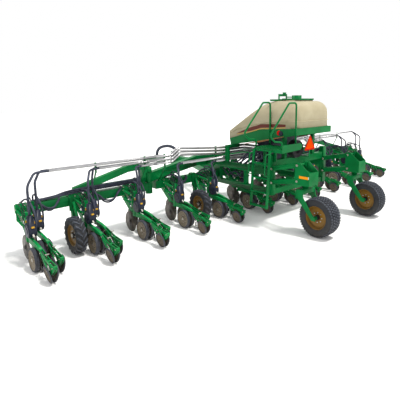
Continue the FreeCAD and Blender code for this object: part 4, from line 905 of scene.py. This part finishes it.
# Lines along the tank's flank, as (distance from the toolbar's line, height)
LIP = ((-0.215, 1.915), (-0.258, 1.934), (-0.466, 2.033), (-0.940, 2.150), (-1.489, 2.254), (-1.830, 2.283),
       (-2.100, 2.304))
BAND_TOP = ((-0.440, 1.9335), (-0.466, 1.940), (-0.942, 2.117), (-1.312, 2.213), (-1.830, 2.240), (-2.100, 2.239))
BAND_FOOT = ((-0.440, 1.9325), (-0.466, 1.932), (-0.942, 2.021), (-1.312, 2.125), (-1.830, 2.163), (-2.100, 2.190))
STRIPE_TOP = ((-0.720, 1.690), (-0.787, 1.705), (-1.279, 1.814), (-1.870, 1.940), (-2.000, 1.968))
STRIPE_FOOT = ((-0.720, 1.688), (-0.787, 1.689), (-1.279, 1.773), (-1.870, 1.914), (-2.000, 1.950))
TANK_HALF = 0.72  # half the tank's width
TANK_REAR = -2.340
TANK_CORNER = 0.24
LIP_HEIGHT = 0.022
REFLECTOR_X = 0.7125


def side_stations(side, top, foot, start, end, count):
    """Stations along one flank between two (y, z) lines."""
    stations = []
    for k in range(count + 1):
        y = start + (end - start) * k / count
        low, high = height_on(foot, y), height_on(top, y)
        stations.append((at(side * TANK_HALF, y, low), at(side * TANK_HALF, y, high), Vector((-side, 0, 0))))
    return stations


def around_tank(z_low, z_high):
    """Stations from the left flank round the rear of the tank to the right flank."""
    half, rear = TANK_HALF - TANK_CORNER, TANK_REAR + TANK_CORNER
    stations = []
    for side in SIDES:
        turn = []
        for k in range(9):
            a = math.pi / 2 * k / 8
            out = Vector((side * math.cos(a), -math.sin(a), 0))
            x, y = side * half + out.x * TANK_CORNER, rear + out.y * TANK_CORNER
            turn.append((at(x, y, z_low), at(x, y, z_high), -out))
        for k in range(1, 5):
            x = side * half * (1 - k / 4)
            turn.append((at(x, TANK_REAR, z_low), at(x, TANK_REAR, z_high), Vector((0, 1, 0))))
        stations.append(turn)
    return stations[0] + stations[1][::-1][1:]


def tank_trim():
    """Moulded lip round the tank, its brown and gold bands, the sill's stripe and the side reflectors."""
    tank = surface_of("tank")
    sill = surface_of("tank_cradle")
    lip_top = [(y, z + LIP_HEIGHT) for y, z in LIP]
    left, right = (side_stations(side, lip_top, LIP, -0.215, -2.099, 44) for side in SIDES)
    loop = left + around_tank(LIP[-1][1], LIP[-1][1] + LIP_HEIGHT) + right[::-1]
    new_piece("tank_lip", laid_on(tank, loop, 4, 0.014, 0.004), TANK_TAN, "machine", 60)
    for side, label in ((-1, "left"), (1, "right")):
        def strip(name, surface, top, foot, start, end, count, rows, depth, finish):
            stations = side_stations(side, top, foot, start, end, count)
            new_piece(f"{label}_{name}", laid_on(surface, stations, rows, 0.0012, depth), finish, "machine", 60)

        gold_top = [(y, z - 0.012) for y, z in BAND_FOOT]
        gold_foot = [(y, z - 0.026) for y, z in BAND_FOOT]
        strip("brown_band", tank, BAND_TOP, BAND_FOOT, -0.440, -2.060, 60, 6, 0.003, BAND_BROWN)
        strip("gold_band", tank, gold_top, gold_foot, -0.480, -2.060, 60, 2, 0.003, BAND_GOLD)
        strip("sill_stripe", sill, STRIPE_TOP, STRIPE_FOOT, -0.720, -2.000, 40, 2, 0.002, SILL_OCHRE)
        lens = lathe([(0.0, 0.001), (0.0, 0.060), (0.010, 0.060), (0.014, 0.054), (0.014, 0.001)], 32)
        lens.transform(Matrix.Translation(at(REFLECTOR_X, -1.865, 2.035)))
        cup = lathe([(0.0, 0.001), (0.0, 0.060), (0.014, 0.060), (0.020, 0.052), (0.020, 0.001)], 32)
        cup.transform(Matrix.Translation(at(REFLECTOR_X, -1.925, 2.025)))
        if side < 0:
            for bm in (lens, cup):
                bm.transform(Matrix.Scale(-1, 4, (1, 0, 0)))
                bmesh.ops.reverse_faces(bm, faces=bm.faces)
        new_piece(label + "_red_reflector", lens, SIGN_RED, "machine")
        new_piece(label + "_marker_cup", cup, BLACK_PLASTIC, "machine")


def sign_face():
    """Brighter inner triangle of the slow-vehicle sign, with nothing on it."""
    low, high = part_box("warning_sign")
    middle_x, height = (low.x + high.x) / 2, high.z - low.z
    half = (high.x - low.x) / 2
    base, peak = low.z + height * 0.10, low.z + height * 0.83
    corners = [(-half * 0.70, base), (half * 0.70, base), (half * 0.74, base + 0.02), (half * 0.10, peak),
               (-half * 0.10, peak), (-half * 0.74, base + 0.02)]
    bm = bmesh.new()
    face = bm.faces.new([bm.verts.new((middle_x + x, low.y - 0.0015, z)) for x, z in corners])
    grown = bmesh.ops.extrude_face_region(bm, geom=[face])
    back = [v for v in grown["geom"] if isinstance(v, bmesh.types.BMVert)]
    bmesh.ops.translate(bm, verts=back, vec=(0, 0.0012, 0))
    bmesh.ops.recalc_face_normals(bm, faces=bm.faces)
    new_piece("sign_face", bm, SIGN_ORANGE, "machine")


# ---------------- centre and wing details
WING_HOSES = ((1.022, -0.060), (1.056, -0.025), (1.090, 0.010))  # height on the chord, place across the bar's top
TRUSS_X = 0.931  # hoses' middle line against the truss's posts
TRUSS_HOSES = (  # (how far in from that line, back, height)
    ((0, -0.16, 1.060), (0, -0.26, 0.900), (0.02, -0.40, 0.860), (0, -0.52, 0.960), (0.02, -0.64, 1.010),
     (0, -0.80, 0.880), (0, -0.98, 0.870), (0, -1.12, 0.960)),
    ((0.045, -0.20, 1.090), (0.04, -0.34, 1.000), (0.05, -0.46, 0.890), (0.04, -0.62, 0.850), (0.05, -0.74, 0.940),
     (0.04, -0.90, 1.060), (0.05, -1.05, 1.090)))
DECK_TOP = 1.745
HEAD_X, HEAD_HALF, LINK_HALF = 1.020, 0.166, 0.1412  # caster heads, their cheeks and the links' ends
HEAD_PINS = ((-2.755, 1.450), (-2.755, 1.110))
LINK_PINS = ((-2.030, 1.275), (-2.030, 0.960))


def frame_hoses():
    """Hydraulic and vacuum hoses laid along the wings, through the side trusses and round the seed box."""
    for side, body in ((-1, "left_wing"), (1, "right_wing")):
        runs = []
        for z, over in WING_HOSES:
            runs.append([at(side * x, -0.0715, z) for x in (3.30, 3.75, 4.20, 4.87)]
                        + [at(side * 5.10, over, 0.994), at(side * 5.48, over, 0.994)])
        hose_runs(body + "_top_hoses", runs, VACUUM_R, HOSE, body)
    truss, box_runs = [], []
    for side in SIDES:
        truss += [[at(side * TRUSS_X - side * gap, y, z) for gap, y, z in route] for route in TRUSS_HOSES]
        for k in range(5):
            y = -0.60 - 0.15 * k
            box_runs.append([at(side * 0.423, -1.0 - 0.05 * k, 1.44 + 0.03 * k),
                             at(side * (0.56 + 0.02 * k), -0.96 - 0.06 * k, 1.50),
                             at(side * (0.66 + 0.02 * k), y - 0.20, 1.42),
                             at(side * 0.72, y - 0.05, 1.31 + 0.02 * (k % 3)),
                             at(side * (0.82 + 0.02 * (k % 2)), y, 1.23),
                             at(side * 0.948, y + 0.10, 1.19 - 0.02 * k)])
    hose_runs("truss_hoses", truss, TRUSS_R, HOSE, "machine")
    hose_runs("seed_box_hoses", box_runs, BOX_R, HOSE, "machine")


def deck_tread():
    """Raised lozenges over the deck, turned alternately."""
    lozenge = block((-0.016, -0.005, 0.0), (0.016, 0.005, 0.003), 0.0012)
    left, rear, across, along = -1.215, -2.375, 0.038, 0.040
    spots = []
    for i in range(13):
        for j in range(20):
            turn = math.radians(45 if (i + j) % 2 else -45)
            spots.append((tuple(at(left + i * across, rear + j * along, DECK_TOP)), (0.0, 0.0, turn)))
    set_out("deck_tread", lozenge, spots, FRAME_GREEN, "machine")


def caster_details():
    """Amber and white strips on the heads' outer cheeks and the bolts of the link pins."""
    strips, white, bolts = [], [], []
    for side in SIDES:
        cheek = side * (HEAD_X + HEAD_HALF)
        near, far = min(cheek, cheek + side * 0.003), max(cheek, cheek + side * 0.003)
        strips.append(block((near, BAR_Y - 3.040, 1.185), (far, BAR_Y - 2.815, 1.240), 0.001))
        white.append(block((near, BAR_Y - 3.066, 1.190), (far, BAR_Y - 3.045, 1.245), 0.001))
        for reach, pins in ((HEAD_HALF, HEAD_PINS), (LINK_HALF, LINK_PINS)):
            for out, turn in ((reach, 0.0), (-reach, math.pi)):
                bolts += [(tuple(at(side * HEAD_X + out, y, z)), (0.0, 0.0, turn)) for y, z in pins]
    new_piece("amber_strips", join(*strips), AMBER, "machine")
    new_piece("white_strips", join(*white), CLIP_WHITE, "machine")
    set_out("link_pin_bolts", hex_nut(0.040, 0.022), bolts, ZINC, "machine")


# ---------------- camera, light, floor
def studio():
    """Camera behind the left wing, white surroundings, one soft sun and a pale floor."""
    scene = bpy.context.scene
    camera_data = bpy.data.cameras.new("camera")
    camera = bpy.data.objects.new("camera", camera_data)
    scene.collection.objects.link(camera)
    camera.location = (-7.545, BAR_Y - 7.532, 2.889)
    camera.rotation_euler = (math.pi / 2 - 0.1628, 0.0, -0.7867)
    camera_data.sensor_width = 36.0
    camera_data.lens = 34.56
    camera_data.shift_x = -0.1095
    camera_data.shift_y = -0.1034
    camera_data.clip_end = 200.0
    scene.camera = camera

    world = bpy.data.worlds.new("studio")
    world.use_nodes = True
    background = world.node_tree.nodes["Background"].inputs
    background["Color"].default_value = (1.0, 1.0, 1.0, 1)
    background["Strength"].default_value = 1.0
    scene.world = world
    scene.view_settings.view_transform = "Standard"

    sun_data = bpy.data.lights.new("key", "SUN")
    sun_data.energy = 3.0
    sun_data.angle = math.radians(9)
    sun_data.color = (1.0, 0.97, 0.92)
    sun = bpy.data.objects.new("key", sun_data)
    sun.rotation_euler = Euler((math.radians(17), math.radians(13), 0.0))
    scene.collection.objects.link(sun)

    bm = bmesh.new()
    bmesh.ops.create_grid(bm, x_segments=1, y_segments=1, size=60)
    mesh = bpy.data.meshes.new("floor")
    bm.to_mesh(mesh)
    bm.free()
    floor = bpy.data.objects.new("floor", mesh)
    scene.collection.objects.link(floor)
    pale = Finish("pale_floor")
    pale.colour(pale.ramp(pale.noise(0.6, 2.0), 0.3, 0.7, (0.90, 0.90, 0.90), (0.92, 0.92, 0.92)))
    pale.set(Roughness=0.9)
    mesh.materials.append(pale.material)


dress_frame()
unit_wheels()
caster_wheels()
lift_wheels()
unit_lines()
unit_fittings()
bar_clamps()
bar_loops()
tongue_bundle()
tank_trim()
sign_face()
frame_hoses()
deck_tread()
caster_details()
studio()
